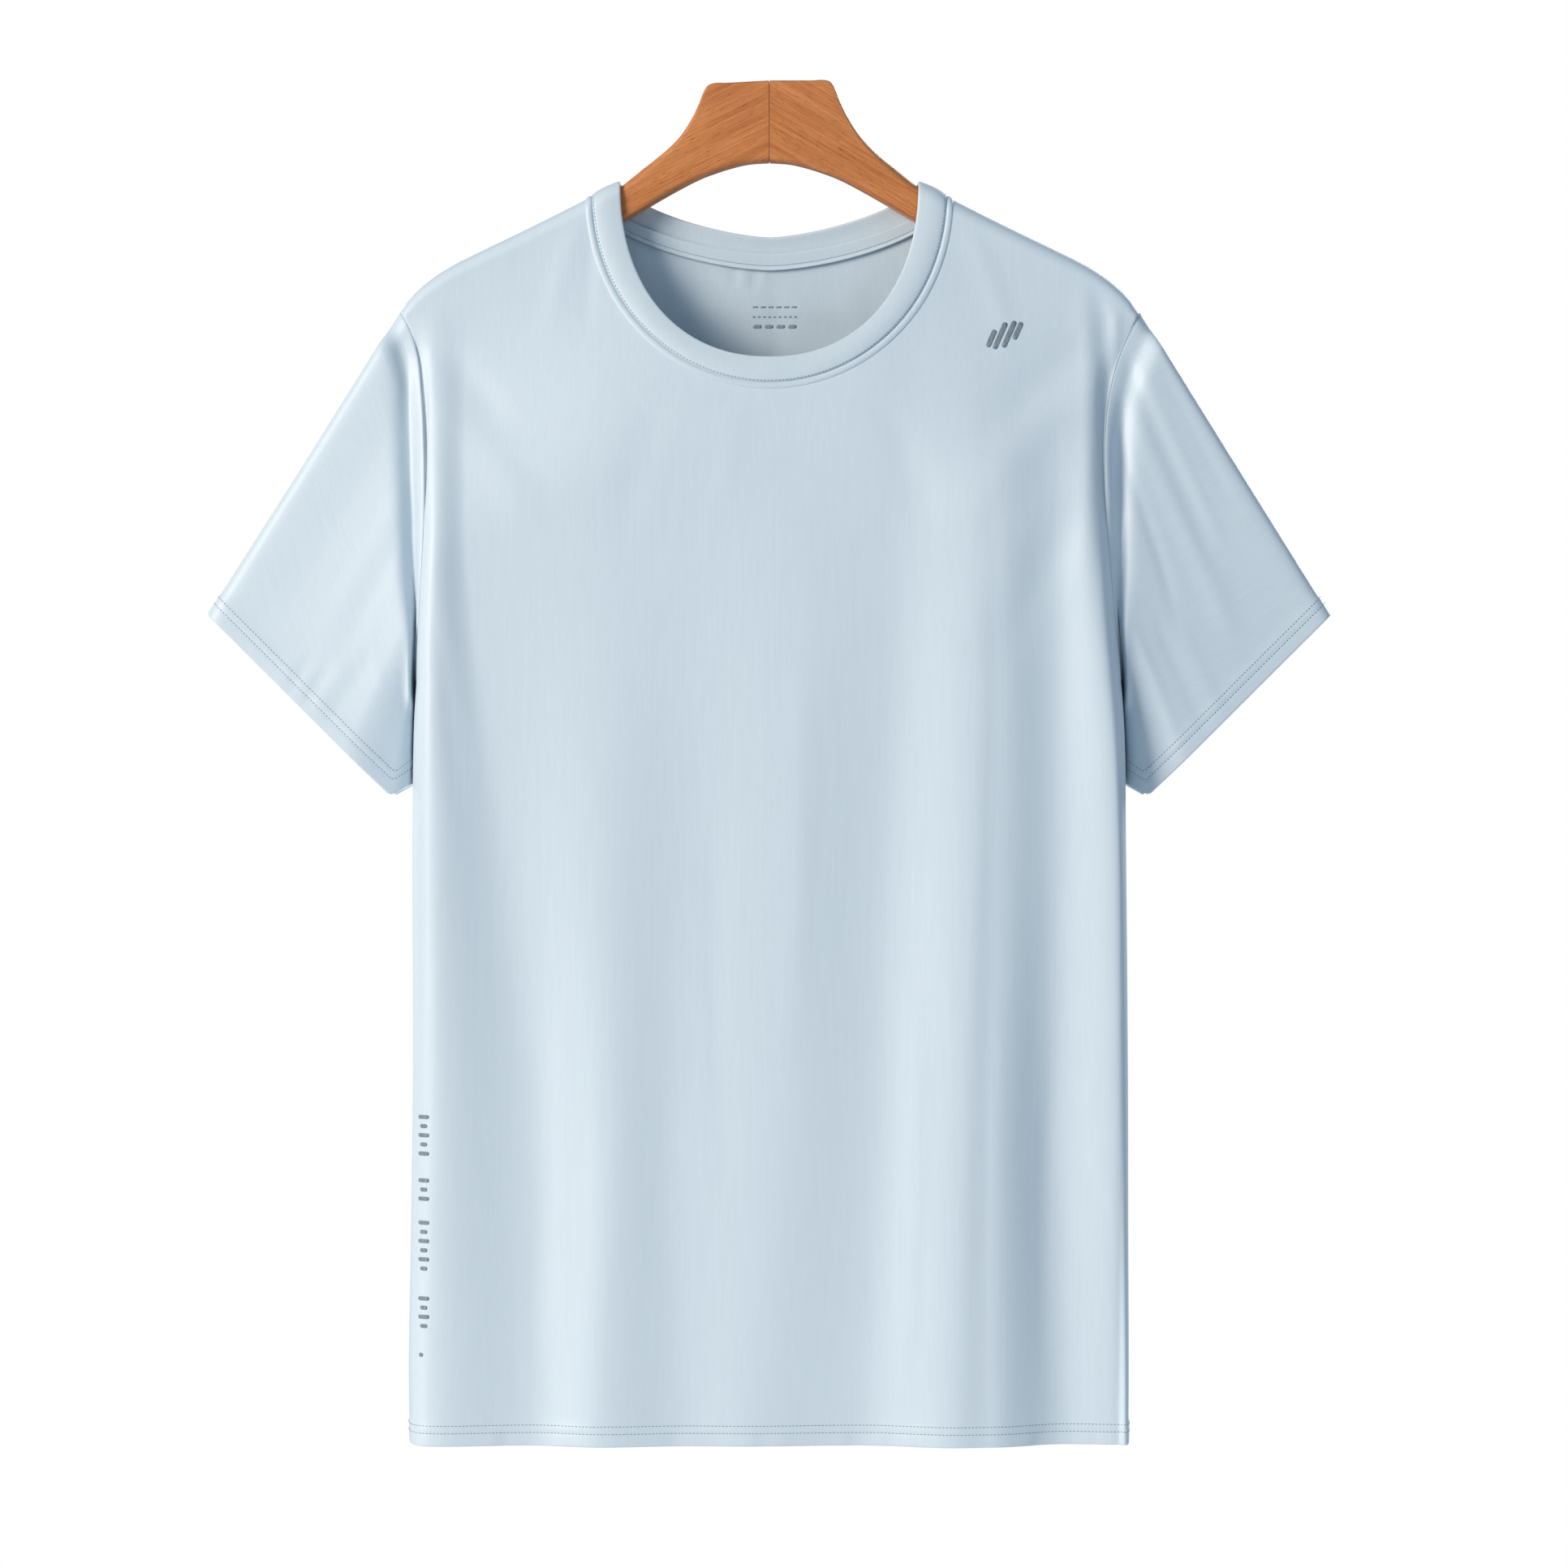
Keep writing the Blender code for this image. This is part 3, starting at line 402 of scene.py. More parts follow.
def body_y(x, z, side, dressed=True):
    """Y of the middle of the wall; side is FRONT or BACK."""
    folds = FRONT_FOLDS if side < 0 else BACK_FOLDS
    chest = profile(z, BODY_DEPTH, 1 if side < 0 else 2)
    drop = np.clip(ridge_height(x) - z, 0.0, None)
    over_arm = RIDGE_RADIUS * quarter(drop / RIDGE_RADIUS)
    fallen = (chest - RIDGE_RADIUS) * ease(drop / SHOULDER_FALL)
    flatness = 5.0
    if dressed:
        chest_share = ease((z + 420 * MM) / (120 * MM))
        left, right, upper = FLATNESS[side]
        flank = np.where(x < 0, left, right)
        flatness = flank + (upper - flank) * chest_share
    across = lens(x / half_width(x, z), flatness)
    high = ease(1 + (z - SHOULDER_TIP_Z) / TIP_BLEND)
    seam = armhole_depth(z, side) * (z > UNDERARM_Z)
    edge = seam * (1 - across) ** (1.25 if dressed else 2.0) * (1 - high)
    relief = fold_relief(x, z, folds)
    if dressed:
        creases = FRONT_CREASES if side < 0 else BACK_CREASES
        finer_relief = crease_relief(x, z, creases) * ease(drop / (25 * MM))
        relief = relief + finer_relief + hem_relief(x, z, 0.0 if side < 0 else 11.0)
    return side * (edge + over_arm * (across + (1 - across) * high) + (fallen + relief) * across)


def neck_line(point_x, low_z, squareness, side):
    """Points of a neckline, left to right, crowded where it turns over the ridge."""
    top_z = ridge_height(np.array([point_x]))[0]
    shares = np.array(NECK_DROPS) * MM / (top_z - low_z)
    near = np.arcsin(shares ** (squareness / 2.0))
    rest = near[-1] + (math.pi / 2 - near[-1]) * np.array(NECK_SHARES)
    angles = finer(np.concatenate(([0.0], near, rest)), PANEL_FINER)
    across = np.clip(np.cos(angles), 0, 1) ** (2.0 / squareness) * point_x
    heights = top_z - np.sin(angles) ** (2.0 / squareness) * (top_z - low_z)
    x = np.concatenate((-across, across[-2::-1]))
    z = np.concatenate((heights, heights[-2::-1]))
    return np.stack((x, body_y(x, z, side, False), z), axis=-1)


def neck_seam(side, outward=0.0):
    """Seam between a panel and the neckband, or a line outside it."""
    low_z = NECK_LOW_Z[side] - outward
    return neck_line(NECK_POINT_X + outward, low_z, NECK_SQUARENESS[side], side)


def band_edge(side):
    """Free inner edge of the neckband."""
    return neck_line(BAND_POINT_X, BAND_LOW_Z[side], BAND_SQUARENESS[side], side)


def rising_rows():
    """Heights of the panel's rows up the side seam and up the armhole."""
    edge = HEM_Z + np.array(HEM_EDGE) * MM
    armhole = SHOULDER_TIP_Z - finer(ARMHOLE_ROWS, ARMHOLE_FINER) * MM
    count = int((armhole[0] - edge[-1]) / (SIDE_STEP * MM))
    side = np.linspace(edge[-1], armhole[0], count + 1)[1:-1]
    return np.concatenate((edge, side)), armhole


def side_boundary(hand):
    """X, Z and length of a panel's edge: side seam, armhole, shoulder."""
    rising = np.concatenate(rising_rows())
    rising_x = half_width(np.full(len(rising), float(hand)), rising)
    tip_x = rising_x[-1]
    near = NECK_POINT_X + np.array(SHOULDER_NEAR_NECK) * MM
    far = np.linspace(tip_x, near[0], 21)[1:-1]
    shoulder_x = np.concatenate((far, near))
    x = np.concatenate((rising_x, shoulder_x))
    z = np.concatenate((rising, ridge_height(shoulder_x)))
    return hand * x, z, lengths(np.stack((x, z), axis=-1))


def hem_places():
    """Shares across the hem, -1 to 1, even along the cloth in the middle."""
    fine = np.sin(np.linspace(-math.pi / 2, math.pi / 2, 2001))
    hem = np.stack((fine * SIDE_LINE[0][1], lens(fine) * BODY_DEPTH[0][1]), axis=-1)
    length = lengths(hem * MM)
    near = np.array(HEM_PLACES) * MM
    rest = len(NECK_DROPS) + len(NECK_SHARES) + 1 - len(near)
    half = np.concatenate((near, np.linspace(near[-1], length[-1] / 2, rest + 1)[1:]))
    places = np.concatenate((half, length[-1] - half[-2::-1]))
    return np.interp(finer(places, PANEL_FINER), length, fine)


def panel_grid(side):
    """Points of a panel: rows up, columns across."""
    left_x, left_z, length = side_boundary(-1)
    right_x = side_boundary(1)[0]
    top = neck_seam(side)
    share = hem_places()
    hem_x = share * half_width(share, np.full(len(share), HEM_Z))
    across = np.linspace(0.0, 1.0, len(share))[None, :]
    upward = ((length / length[-1]) ** 2)[:, None]
    hem_bulge = hem_x - (hem_x[0] + (hem_x[-1] - hem_x[0]) * across[0])
    top_bulge = top[:, 0] - (top[0, 0] + (top[-1, 0] - top[0, 0]) * across[0])
    x = left_x[:, None] * (1 - across) + right_x[:, None] * across
    x = x + hem_bulge * (1 - upward) + top_bulge * upward
    z = left_z[:, None] + (top[:, 2] - top[0, 2]) * upward
    plain = body_y(x, z, side, False)
    from_top = ((length[-1] - length) / SEAM_BLEND)[:, None]
    y = plain + (body_y(x, z, side) - plain) * ease(from_top)
    y[-1] = top[:, 1]
    rows = sum(len(part) for part in rising_rows())
    seam_y = side * armhole_depth(left_z[:rows], side)
    y[:rows, 0] = seam_y
    y[:rows, -1] = seam_y
    y[rows:, 0] = 0.0
    y[rows:, -1] = 0.0
    return np.stack((x, y, z), axis=-1)


# ---- sleeves

def cuff_path(share, hand):
    """X and Z of the cuff's edge: 0 at the outer fold, 1 at the underarm seam."""
    places = (0.0, CUFF_CORNER_SHARE, 1.0)
    x = np.interp(share, places, (CUFF_TOP[0], CUFF_LOW[0], CUFF_SEAM[0]))
    z = np.interp(share, places, (CUFF_TOP[1], CUFF_LOW[1], CUFF_SEAM[1]))
    return hand * x, z


def sleeve_half(armhole, hand, side):
    """Half of a sleeve: rows to the cuff, columns tip to underarm."""
    share = lengths(armhole)
    share = share / share[-1]
    cuff_x, cuff_z = cuff_path(share, hand)
    run_x = cuff_x - armhole[:, 0]
    run_z = cuff_z - armhole[:, 2]
    run = np.hypot(run_x, run_z)
    cuff_run = np.hypot(CUFF_TOP[0] - CUFF_LOW[0], CUFF_TOP[1] - CUFF_LOW[1])
    normal_x = hand * (CUFF_TOP[1] - CUFF_LOW[1]) / cuff_run
    normal_z = (CUFF_LOW[0] - CUFF_TOP[0]) / cuff_run
    straight = np.clip((run_x * normal_x + run_z * normal_z) / run, 0.75, 1.0)
    edge = np.array(HEM_EDGE[::-1])[:, None] * MM / straight / run
    rows = (np.linspace(0.0, 1.0, SLEEVE_ROWS) ** 1.25)[1:-1, None]
    rows = np.concatenate(([[0.0], [0.004]], rows))
    way = np.concatenate((rows * (1 - edge[0]), 1 - edge))
    near_underarm = ease((share - 0.72) / 0.28)
    leaving = np.minimum(way / way[3], 1.0) * (1 - way) ** 3
    x = armhole[:, 0] + run_x * way + hand * UNDERARM_STEP * near_underarm * leaving
    z = armhole[:, 2] + run_z * way
    full = SLEEVE_HALF_DEPTH + (CUFF_HALF_DEPTH - SLEEVE_HALF_DEPTH) * way
    flat = lens(2 * share - 1, SLEEVE_ROUNDNESS) * (0.55 + 0.47 * ease(share / 0.85))
    seam = np.abs(armhole[:, 1])
    off = way * run
    high_end, low_end = VALLEY_FROM_SEAM
    low = high_end + (low_end - high_end) * ease((share - 0.55) / 0.35)
    risen = ease((off - 0.6 * low) / VALLEY_RISE[hand])
    dip = np.exp(-(((off - low) / (0.5 * low + 2.5 * MM)) ** 2)) * ease(off / low)
    deepening = ease(share / 0.45) * (1 - 0.6 * ease((share - 0.7) / 0.3))
    valley = VALLEY_DEPTH[hand] * deepening * dip
    relief = np.zeros_like(x)
    for across0, way0, across1, way1, width, out in SLEEVE_CREASES[hand, side]:
        part = (way - way0) / (way1 - way0)
        middle = across0 + (across1 - across0) * np.clip(part, 0, 1)
        fade = ease((part + 0.1) / 0.3) * ease((1.1 - part) / 0.35)
        relief += out * MM * np.exp(-(((share - middle) / width) ** 2)) * fade
    from_edge = (1 - way) * run * straight
    relief -= stitch_grooves(from_edge, 0.25 * MM, 1.0 * MM)
    y = side * (seam + (full * flat - seam) * risen - valley + relief * flat * ease(way / 0.06))
    y = y + UNDERARM_BACK * near_underarm * ease(way / 0.4)
    return np.stack((x, y, z), axis=-1)


def sleeve_grid(front, back, hand):
    """Points of a sleeve: rows to the cuff, columns round the arm."""
    edge = 0 if hand < 0 else -1
    side_rows, armhole_rows = rising_rows()
    rows = slice(len(side_rows), len(side_rows) + len(armhole_rows))
    front_half = sleeve_half(front[rows, edge][::-1], hand, FRONT)
    back_half = sleeve_half(back[rows, edge][::-1], hand, BACK)
    return np.concatenate((front_half, back_half[:, -2:0:-1]), axis=1)


# ---- neck and tape

def ring(front_line, back_line):
    """Closed loop: front left to right, then back right to left."""
    return np.concatenate((front_line, back_line[-2:0:-1]))


BAND_BULGE = 0.9 * MM
BAND_SHARES = (0, 0.05, 0.14, 0.26, 0.4, 0.54, 0.68, 0.8, 0.88, 0.93, 0.965, 0.985, 0.996, 1)


def band_grid():
    """Points of the neckband: rows from its seam to its free edge."""
    seam = ring(neck_seam(FRONT), neck_seam(BACK))
    edge = ring(band_edge(FRONT), band_edge(BACK))
    points = np.stack([seam + (edge - seam) * share for share in BAND_SHARES])
    bulge = BAND_BULGE * np.sin(math.pi * np.array(BAND_SHARES) ** 0.8)[:, None, None]
    return points + grid_normals(points, True) * bulge


def tape_grid():
    """Points of the tape inside the back neck: rows up, columns left to right."""
    seam = neck_seam(BACK)
    seam = seam[np.abs(seam[:, 0]) < TAPE_REACH]
    rows = []
    for share in np.sin(np.linspace(-math.pi / 2, math.pi / 2, 17)):
        z = seam[:, 2] + share * TAPE_WIDTH / 2
        y = body_y(seam[:, 0], z, BACK, False) - TAPE_LIFT
        rows.append(np.stack((seam[:, 0], y, z), axis=-1))
    return np.stack(rows)


# ---- meshing

def grid_normals(points, around):
    """Normals of a grid of points; around says that the columns form a ring."""
    if around:
        across = np.roll(points, -1, axis=1) - np.roll(points, 1, axis=1)
    else:
        across = np.gradient(points, axis=1)
    return unit(np.cross(across, np.gradient(points, axis=0)))


def border_places(points, around):
    """Rows and columns of the points on a grid's border."""
    rows, cols = points.shape[:2]
    places = [(row, col) for row in (0, rows - 1) for col in range(cols)]
    if not around:
        places += [(row, col) for row in range(1, rows - 1) for col in (0, cols - 1)]
    return places


def sew(pieces):
    """Give the points that pieces share one mitred normal."""
    meeting = {}
    for piece in pieces:
        for place in border_places(piece["points"], piece["around"]):
            key = tuple(np.round(piece["points"][place] / (0.01 * MM)).astype(int))
            meeting.setdefault(key, []).append((piece, place))
    for found in meeting.values():
        normals = np.array([piece["normals"][place] for piece, place in found])
        alike = (normals @ normals.T > 0.85).sum(axis=1)
        middle = unit((normals / alike[:, None]).sum(axis=0))
        sunk = SEAM_GROOVE if len({id(piece) for piece, place in found}) > 1 else 0.0
        for piece, place in found:
            piece["normals"][place] = middle
            piece["sunk"][place] = sunk


def grid_faces(rows, cols, around):
    """Faces of a closed shell: outer grid, inner grid, and the borders between."""
    count, rims = rows * cols, []
    index = np.arange(count).reshape(rows, cols)
    if around:
        index = np.concatenate((index, index[:, :1]), axis=1)
    outer = np.stack((index[:-1, :-1], index[:-1, 1:], index[1:, 1:], index[1:, :-1]), axis=-1)
    outer = outer.reshape(-1, 4)
    inner = outer[:, ::-1] + count
    loops = [index[0, ::-1], index[-1]]
    if not around:
        loops += [index[:, 0], index[::-1, -1]]
    for loop in loops:
        start, end = loop[:-1], loop[1:]
        rims.append(np.stack((start, end, end + count, start + count), axis=-1))
    return np.concatenate([outer, inner] + rims)


def placed(name, data):
    """New object in the scene."""
    made = bpy.data.objects.new(name, data)
    bpy.context.collection.objects.link(made)
    return made


def new_object(name, vertices, faces, material):
    """Smooth mesh object made of quads or of mixed faces."""
    mesh = bpy.data.meshes.new(name)
    mesh.from_pydata(np.asarray(vertices).tolist(), [], [list(map(int, f)) for f in faces])
    mesh.validate()
    work = bmesh.new()
    work.from_mesh(mesh)
    bmesh.ops.recalc_face_normals(work, faces=work.faces)
    work.to_mesh(mesh)
    work.free()
    mesh.shade_smooth()
    mesh.materials.append(material)
    made = placed(name, mesh)
    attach(made, "root")
    return made


def capped_mesh(name, make, **sizes):
    """Mesh of one round primitive with its caps."""
    mesh = bpy.data.meshes.new(name)
    work = bmesh.new()
    make(work, cap_ends=True, **sizes)
    work.to_mesh(mesh)
    work.free()
    return mesh


def ring_faces(low, high, size):
    """Quads between two rings of points that start at low and at high."""
    pairs = [(i, (i + 1) % size) for i in range(size)]
    return [(low + i, low + j, high + j, high + i) for i, j in pairs]


def shell(piece, material):
    """Thin closed shell of a cloth piece; it keeps its outer face for trims."""
    half = piece["normals"] * (piece["walls"] / 2)[:, None, None]
    points = piece["points"] - piece["normals"] * piece["sunk"][..., None]
    rows, cols = points.shape[:2]
    piece["outer"] = points + half
    vertices = np.concatenate((piece["outer"].reshape(-1, 3), (points - half).reshape(-1, 3)))
    return new_object(piece["name"], vertices, grid_faces(rows, cols, piece["around"]), material)


def cloth_piece(name, points, turn, around, walls):
    """What sewing and thickening need of one cloth piece."""
    normals = grid_normals(points, around) * turn
    return {
        "name": name, "points": points, "normals": normals, "around": around, "walls": walls,
        "sunk": np.zeros(points.shape[:2]),
    }


def hem_walls(from_edge):
    """Wall of each row by its distance from a hem's edge, which is rounded."""
    wall = SHELL + (HEM_SHELL - SHELL) * ease((HEM_EDGE[-1] * MM - from_edge) / (2.4 * MM))
    return wall * (0.25 + 0.75 * quarter(from_edge / (0.8 * MM)))


# ---- materials

class Tree:
    """Short way to make and link the nodes of a material."""

    def __init__(self, name):
        self.material = bpy.data.materials.new(name)
        self.material.use_nodes = True
        self.tree = self.material.node_tree
        self.shader = self.tree.nodes["Principled BSDF"]

    def node(self, kind, settings=(), **inputs):
        """New node with settings, and values or links of its inputs."""
        made = self.tree.nodes.new("ShaderNode" + kind)
        for key, value in dict(settings).items():
            setattr(made, key, value)
        for key, value in inputs.items():
            self.feed(made, int(key[1:]) if key[1:].isdigit() else key.replace("_", " "), value)
        return made

    def feed(self, node, socket, value):
        """Link or set one input."""
        target = node.inputs[socket]
        if isinstance(value, bpy.types.NodeSocket):
            self.tree.links.new(value, target)
        else:
            target.default_value = value

    def noise(self, turn, scale, detail, **more):
        """Noise stretched by scale, on axes turned about Y."""
        place = self.place(turn, scale)
        return self.node("TexNoise", i0=place, Scale=1.0, Detail=detail, **more).outputs[0]

    def blend(self, *parts):
        """Sum of sockets, each times its weight."""
        total = 0.0
        for socket, weight in parts:
            settings = {"operation": "MULTIPLY_ADD"}
            total = self.node("Math", settings, i0=socket, i1=weight, i2=total).outputs[0]
        return total

    def bump(self, strength, distance, height):
        """Bump the shader's normal by a height."""
        made = self.node("Bump", i0=strength, Distance=distance, Height=height)
        self.set(Normal=made.outputs[0])

    def ramp(self, factor, stops):
        """Colour ramp through (place, colour) stops."""
        made = self.node("ValToRGB", i0=factor)
        elements = made.color_ramp.elements
        for index, (place, colour) in enumerate(stops):
            element = elements[index] if index < 2 else elements.new(place)
            element.position = place
            element.color = (*colour, 1.0)
        return made.outputs[0]

    def tint(self, factor, colour, stops):
        """Make the shader's colour lighter or darker through (place, share) stops."""
        shades = [(place, [channel * share for channel in colour]) for place, share in stops]
        self.set(Base_Color=self.ramp(factor, shades))

    def place(self, turn, scale):
        """Object coordinates, turned about Y and scaled."""
        coordinates = self.node("TexCoord").outputs["Object"]
        lean = (0, math.radians(turn), 0)
        turned = self.node("Mapping", i0=coordinates, Rotation=lean)
        return self.node("Mapping", i0=turned.outputs[0], Scale=scale).outputs[0]

    def set(self, **values):
        """Set or link inputs of the shader."""
        for key, value in values.items():
            self.feed(self.shader, key.replace("_", " "), value)


CLOTH = (0.615, 0.73, 0.812)
BAND = (0.605, 0.715, 0.79)
TAPE = (0.60, 0.715, 0.79)
WOOD_TONES = (
    (0.4, (0.43, 0.135, 0.034)),
    (0.78, (0.7, 0.285, 0.098)),
    (0.54, (0.545, 0.19, 0.053)),
    (0.66, (0.625, 0.235, 0.073)),
)
KNIT_RELIEF = 0.08 * MM
THREAD_RELIEF = 0.1 * MM
WOOD_RELIEF = 0.16 * MM


def knit(name, colour, turn=0.0, pitch=1.3, ribbing=0.3, strength=0.5, rough=0.47):
    """Fine ribbed knit with a slight satin sheen; its wales lean and are pitch mm apart."""
    tree = Tree(name)
    streaks = tree.noise(turn, (520, 520, 24), 3)
    clouds = tree.noise(turn, (9, 9, 5), 2)
    wobble = tree.noise(turn, (60, 60, 60), 2)
    grain = tree.noise(turn, (1900, 1900, 900), 1)
    wales = tree.node(
        "TexWave", {"wave_type": "BANDS", "bands_direction": "X"},
        i0=tree.place(turn, (1.0, 0, 1)), Scale=math.pi / 10.0 / (pitch * MM),
        Distortion=2.6, Detail=2.0, Detail_Scale=0.35,
    ).outputs["Fac"]
    mixed = tree.blend((streaks, 0.6), (wales, 0.1), (clouds, 0.18))
    tree.tint(mixed, colour, ((0.25, 0.97), (0.75, 1.03)))
    height = tree.blend((wales, ribbing), (grain, 0.6), (streaks, 0.9), (wobble, 0.35))
    tree.bump(strength, KNIT_RELIEF, height)
    uneven = tree.node("MapRange", i0=streaks, i3=rough - 0.05, i4=rough + 0.07)
    tree.set(Roughness=uneven.outputs[0], Specular_IOR_Level=0.55)
    tree.set(Sheen_Weight=0.15, Sheen_Roughness=0.5, Sheen_Tint=(0.86, 0.93, 1.0, 1.0))
    return tree.material


def fibrous(name, colour, scale, detail, stops, relief, finish):
    """Thread or print: fine fibres whose lightness goes through the stops."""
    tree = Tree(name)
    fibre = tree.noise(0, scale, detail)
    tree.tint(fibre, colour, stops)
    tree.bump(relief, THREAD_RELIEF, fibre)
    tree.set(**finish)
    return tree.material


# Twisted thread, and a flat print that the knit shows through.
THREAD_FINISH = {"Roughness": 0.6, "Sheen_Weight": 0.2}
THREAD = ((2600, 2600, 2600), 1, ((0.3, 0.8), (0.7, 1.15)), 0.4, THREAD_FINISH)
INK_FINISH = {"Roughness": 0.42, "Specular_IOR_Level": 0.4}
INK = ((900, 900, 300), 2, ((0.3, 0.85), (0.75, 1.25)), 0.3, INK_FINISH)


def wood(name, lean):
    """Lacquered hardwood whose grain leans along its arm."""
    tree = Tree(name)
    bands = tree.noise(lean, (7, 60, 150), 4, Roughness=0.55)
    lines = tree.noise(lean, (22, 300, 900), 3, Roughness=0.6)
    pores = tree.noise(lean, (190, 1500, 2300), 2, Roughness=0.6)
    tone = tree.ramp(tree.blend((lines, 0.72), (bands, 0.5)), WOOD_TONES)
    dark = tree.node("MapRange", i0=pores, i1=0.31, i2=0.42, i3=0.55, i4=1.0)
    shaded = tree.node("VectorMath", {"operation": "SCALE"}, i0=tone, Scale=dark.outputs[0])
    tree.set(Base_Color=shaded.outputs[0])
    tree.bump(0.35, WOOD_RELIEF, pores)
    gloss = tree.node("MapRange", i0=lines, i3=0.38, i4=0.5)
    tree.set(Roughness=gloss.outputs[0], Specular_IOR_Level=0.45)
    tree.set(Coat_Weight=0.12, Coat_Roughness=0.3)
    return tree.material


# ---- trims

def spaced(path, step):
    """Places along a path of points, step apart, as share-weighted indices."""
    along = lengths(path)
    count = max(1, int(along[-1] / step))
    at = (np.arange(count) + 0.5) * along[-1] / count
    return np.interp(at, along, np.arange(len(path)))


def at_index(values, spots):
    """Values between the points of a path."""
    low = np.clip(np.floor(spots).astype(int), 0, len(values) - 2)
    part = (spots - low)[:, None]
    return values[low] * (1 - part) + values[low + 1] * part


CAPSULE_RINGS = ((0, 0.35), (0.12, 0.8), (0.35, 1), (0.65, 1), (0.88, 0.8), (1, 0.35))
CAPSULE_SIDES = 6
STITCH_ARCH = 0.16 * MM
STITCH_SINK = 0.08 * MM


def stitches(name, rows, material, step=2.1, length=1.35, width=0.42):
    """One mesh of short threads along paths: rows of (points, normals, closed)."""
    vertices, faces = [], []
    sides = np.arange(CAPSULE_SIDES) * 2 * math.pi / CAPSULE_SIDES
    for path, normals, closed in rows:
        if closed:
            path = np.concatenate((path, path[:1]))
            normals = np.concatenate((normals, normals[:1]))
        spots = spaced(path, step * MM)
        middle = at_index(path, spots)
        out = unit(at_index(normals, spots))
        after, before = (np.clip(spots + by, 0, len(path) - 1.001) for by in (0.2, -0.2))
        ahead = unit(at_index(path, after) - at_index(path, before))
        aside = unit(np.cross(ahead, out))
        for centre, forward, sideways, up in zip(middle, ahead, aside, out):
            start = len(vertices)
            for share, size in CAPSULE_RINGS:
                arch = STITCH_ARCH * math.sin(math.pi * share) - STITCH_SINK
                base = centre + forward * (share - 0.5) * length * MM + up * arch
                radius = width / 2 * size * MM
                for angle in sides:
                    round_it = sideways * math.cos(angle) + up * math.sin(angle)
                    vertices.append(base + round_it * radius)
            for low in range(start, len(vertices) - CAPSULE_SIDES, CAPSULE_SIDES):
                faces += ring_faces(low, low + CAPSULE_SIDES, CAPSULE_SIDES)
            faces.append([start + side for side in reversed(range(CAPSULE_SIDES))])
            faces.append(range(len(vertices))[-CAPSULE_SIDES:])
    return new_object(name, vertices, faces, material)


def evenly(outline, count):
    """That many points evenly spaced round a closed outline."""
    closed = np.concatenate((outline, outline[:1]))
    along = lengths(closed)
    at = np.arange(count) * along[-1] / count
    return np.stack([np.interp(at, along, closed[:, axis]) for axis in (0, 1)], axis=-1)


PRINT_POINTS = 48
PRINT_LIFT = 0.14 * MM
PRINT_SINK = 0.1 * MM


def print_marks(name, marks, side, material):
    """Prints facing the front: each a rounded bar (x, z, width, height, turn) in mm."""
    vertices, faces = [], []
    for x, z, wide, tall, turn in marks:
        corner = min(wide, tall) * 0.45
        outline = []
        for quadrant in range(4):
            centre_x = (wide / 2 - corner) * (1 if quadrant in (0, 3) else -1)
            centre_z = (tall / 2 - corner) * (1 if quadrant in (0, 1) else -1)
            for step in range(5):
                angle = math.radians(90 * quadrant + 22.5 * step)
                turned = np.array((math.cos(angle), math.sin(angle)))
                outline.append((centre_x, centre_z) + corner * turned)
        outline = evenly(np.array(outline), PRINT_POINTS)
        lean = math.radians(turn)
        rings = [outline * share for share in (1.0, 0.66, 0.33)] + [np.zeros((1, 2))]
        flat = np.concatenate(rings)
        px = (x + flat[:, 0] * math.cos(lean) - flat[:, 1] * math.sin(lean)) * MM
        pz = (z + flat[:, 0] * math.sin(lean) + flat[:, 1] * math.cos(lean)) * MM
        y = body_y(px, pz, side)
        slope = (body_y(px + 0.5 * MM, pz, side) - body_y(px - 0.5 * MM, pz, side)) / MM
        face = y - SHELL / 2 * np.sqrt(1 + slope**2)
        top = face - PRINT_LIFT
        low = face + PRINT_SINK
        start = len(vertices)
        size = len(outline)
        vertices += [*np.stack((px, top, pz), axis=-1)]
        vertices += [*np.stack((px, low, pz), axis=-1)[:size]]
        middle = start + 3 * size
        rim = middle + 1
        last = middle - size
        faces += ring_faces(start, start + size, size)
        faces += ring_faces(start + size, last, size)
        faces += [(last + i, last + (i + 1) % size, middle) for i in range(size)]
        faces += ring_faces(start, rim, size)
        faces.append(range(rim, rim + size))
    return new_object(name, vertices, faces, material)


# ---- hanger

def arm_section(x, share, inset, hand):
    """Ring of points round the hanger at x, from front foot up and over to back."""
    if x <= HANGER_OUTLINE[-1][0] * MM:
        top = profile(x, HANGER_OUTLINE)
        foot = profile(x, HANGER_OUTLINE, 2)
    else:
        top = ridge_height(x) - HANGER_SEAT
        foot = top - profile(x, ARM_DEPTH)
    if hand < 0:
        past_head = ease((x - 46 * MM) / (20 * MM))
        top = top - LEFT_HEAD_DROP * min(x / (34 * MM), 1.0) * (1 - past_head)
    middle = (top + foot) / 2
    half_height = (top - foot) / 2 * share - inset
    half_y = HANGER_THICKNESS / 2 * share - inset
    rounding = ease((x - 33 * MM) / (50 * MM))
    radius = (HEAD_RADIUS + (HANGER_THICKNESS / 2 - HEAD_RADIUS) * rounding) * share * 0.999
    foot_radius = FOOT_RADIUS * share
    half = []
    for angle in np.radians(np.linspace(0, 90, 9)):
        y = half_y - foot_radius + foot_radius * math.sin(angle)
        half.append((y, middle - half_height + foot_radius - foot_radius * math.cos(angle)))
    for angle in np.radians(np.linspace(0, 90, 13)[:-1]):
        y = half_y - radius + radius * math.cos(angle)
        half.append((y, middle + half_height - radius + radius * math.sin(angle)))
    half.append((half_y - radius + radius * math.cos(math.radians(88.5)), middle + half_height))
    return [(x, -y, z) for y, z in half] + [(x, y, z) for y, z in reversed(half)]


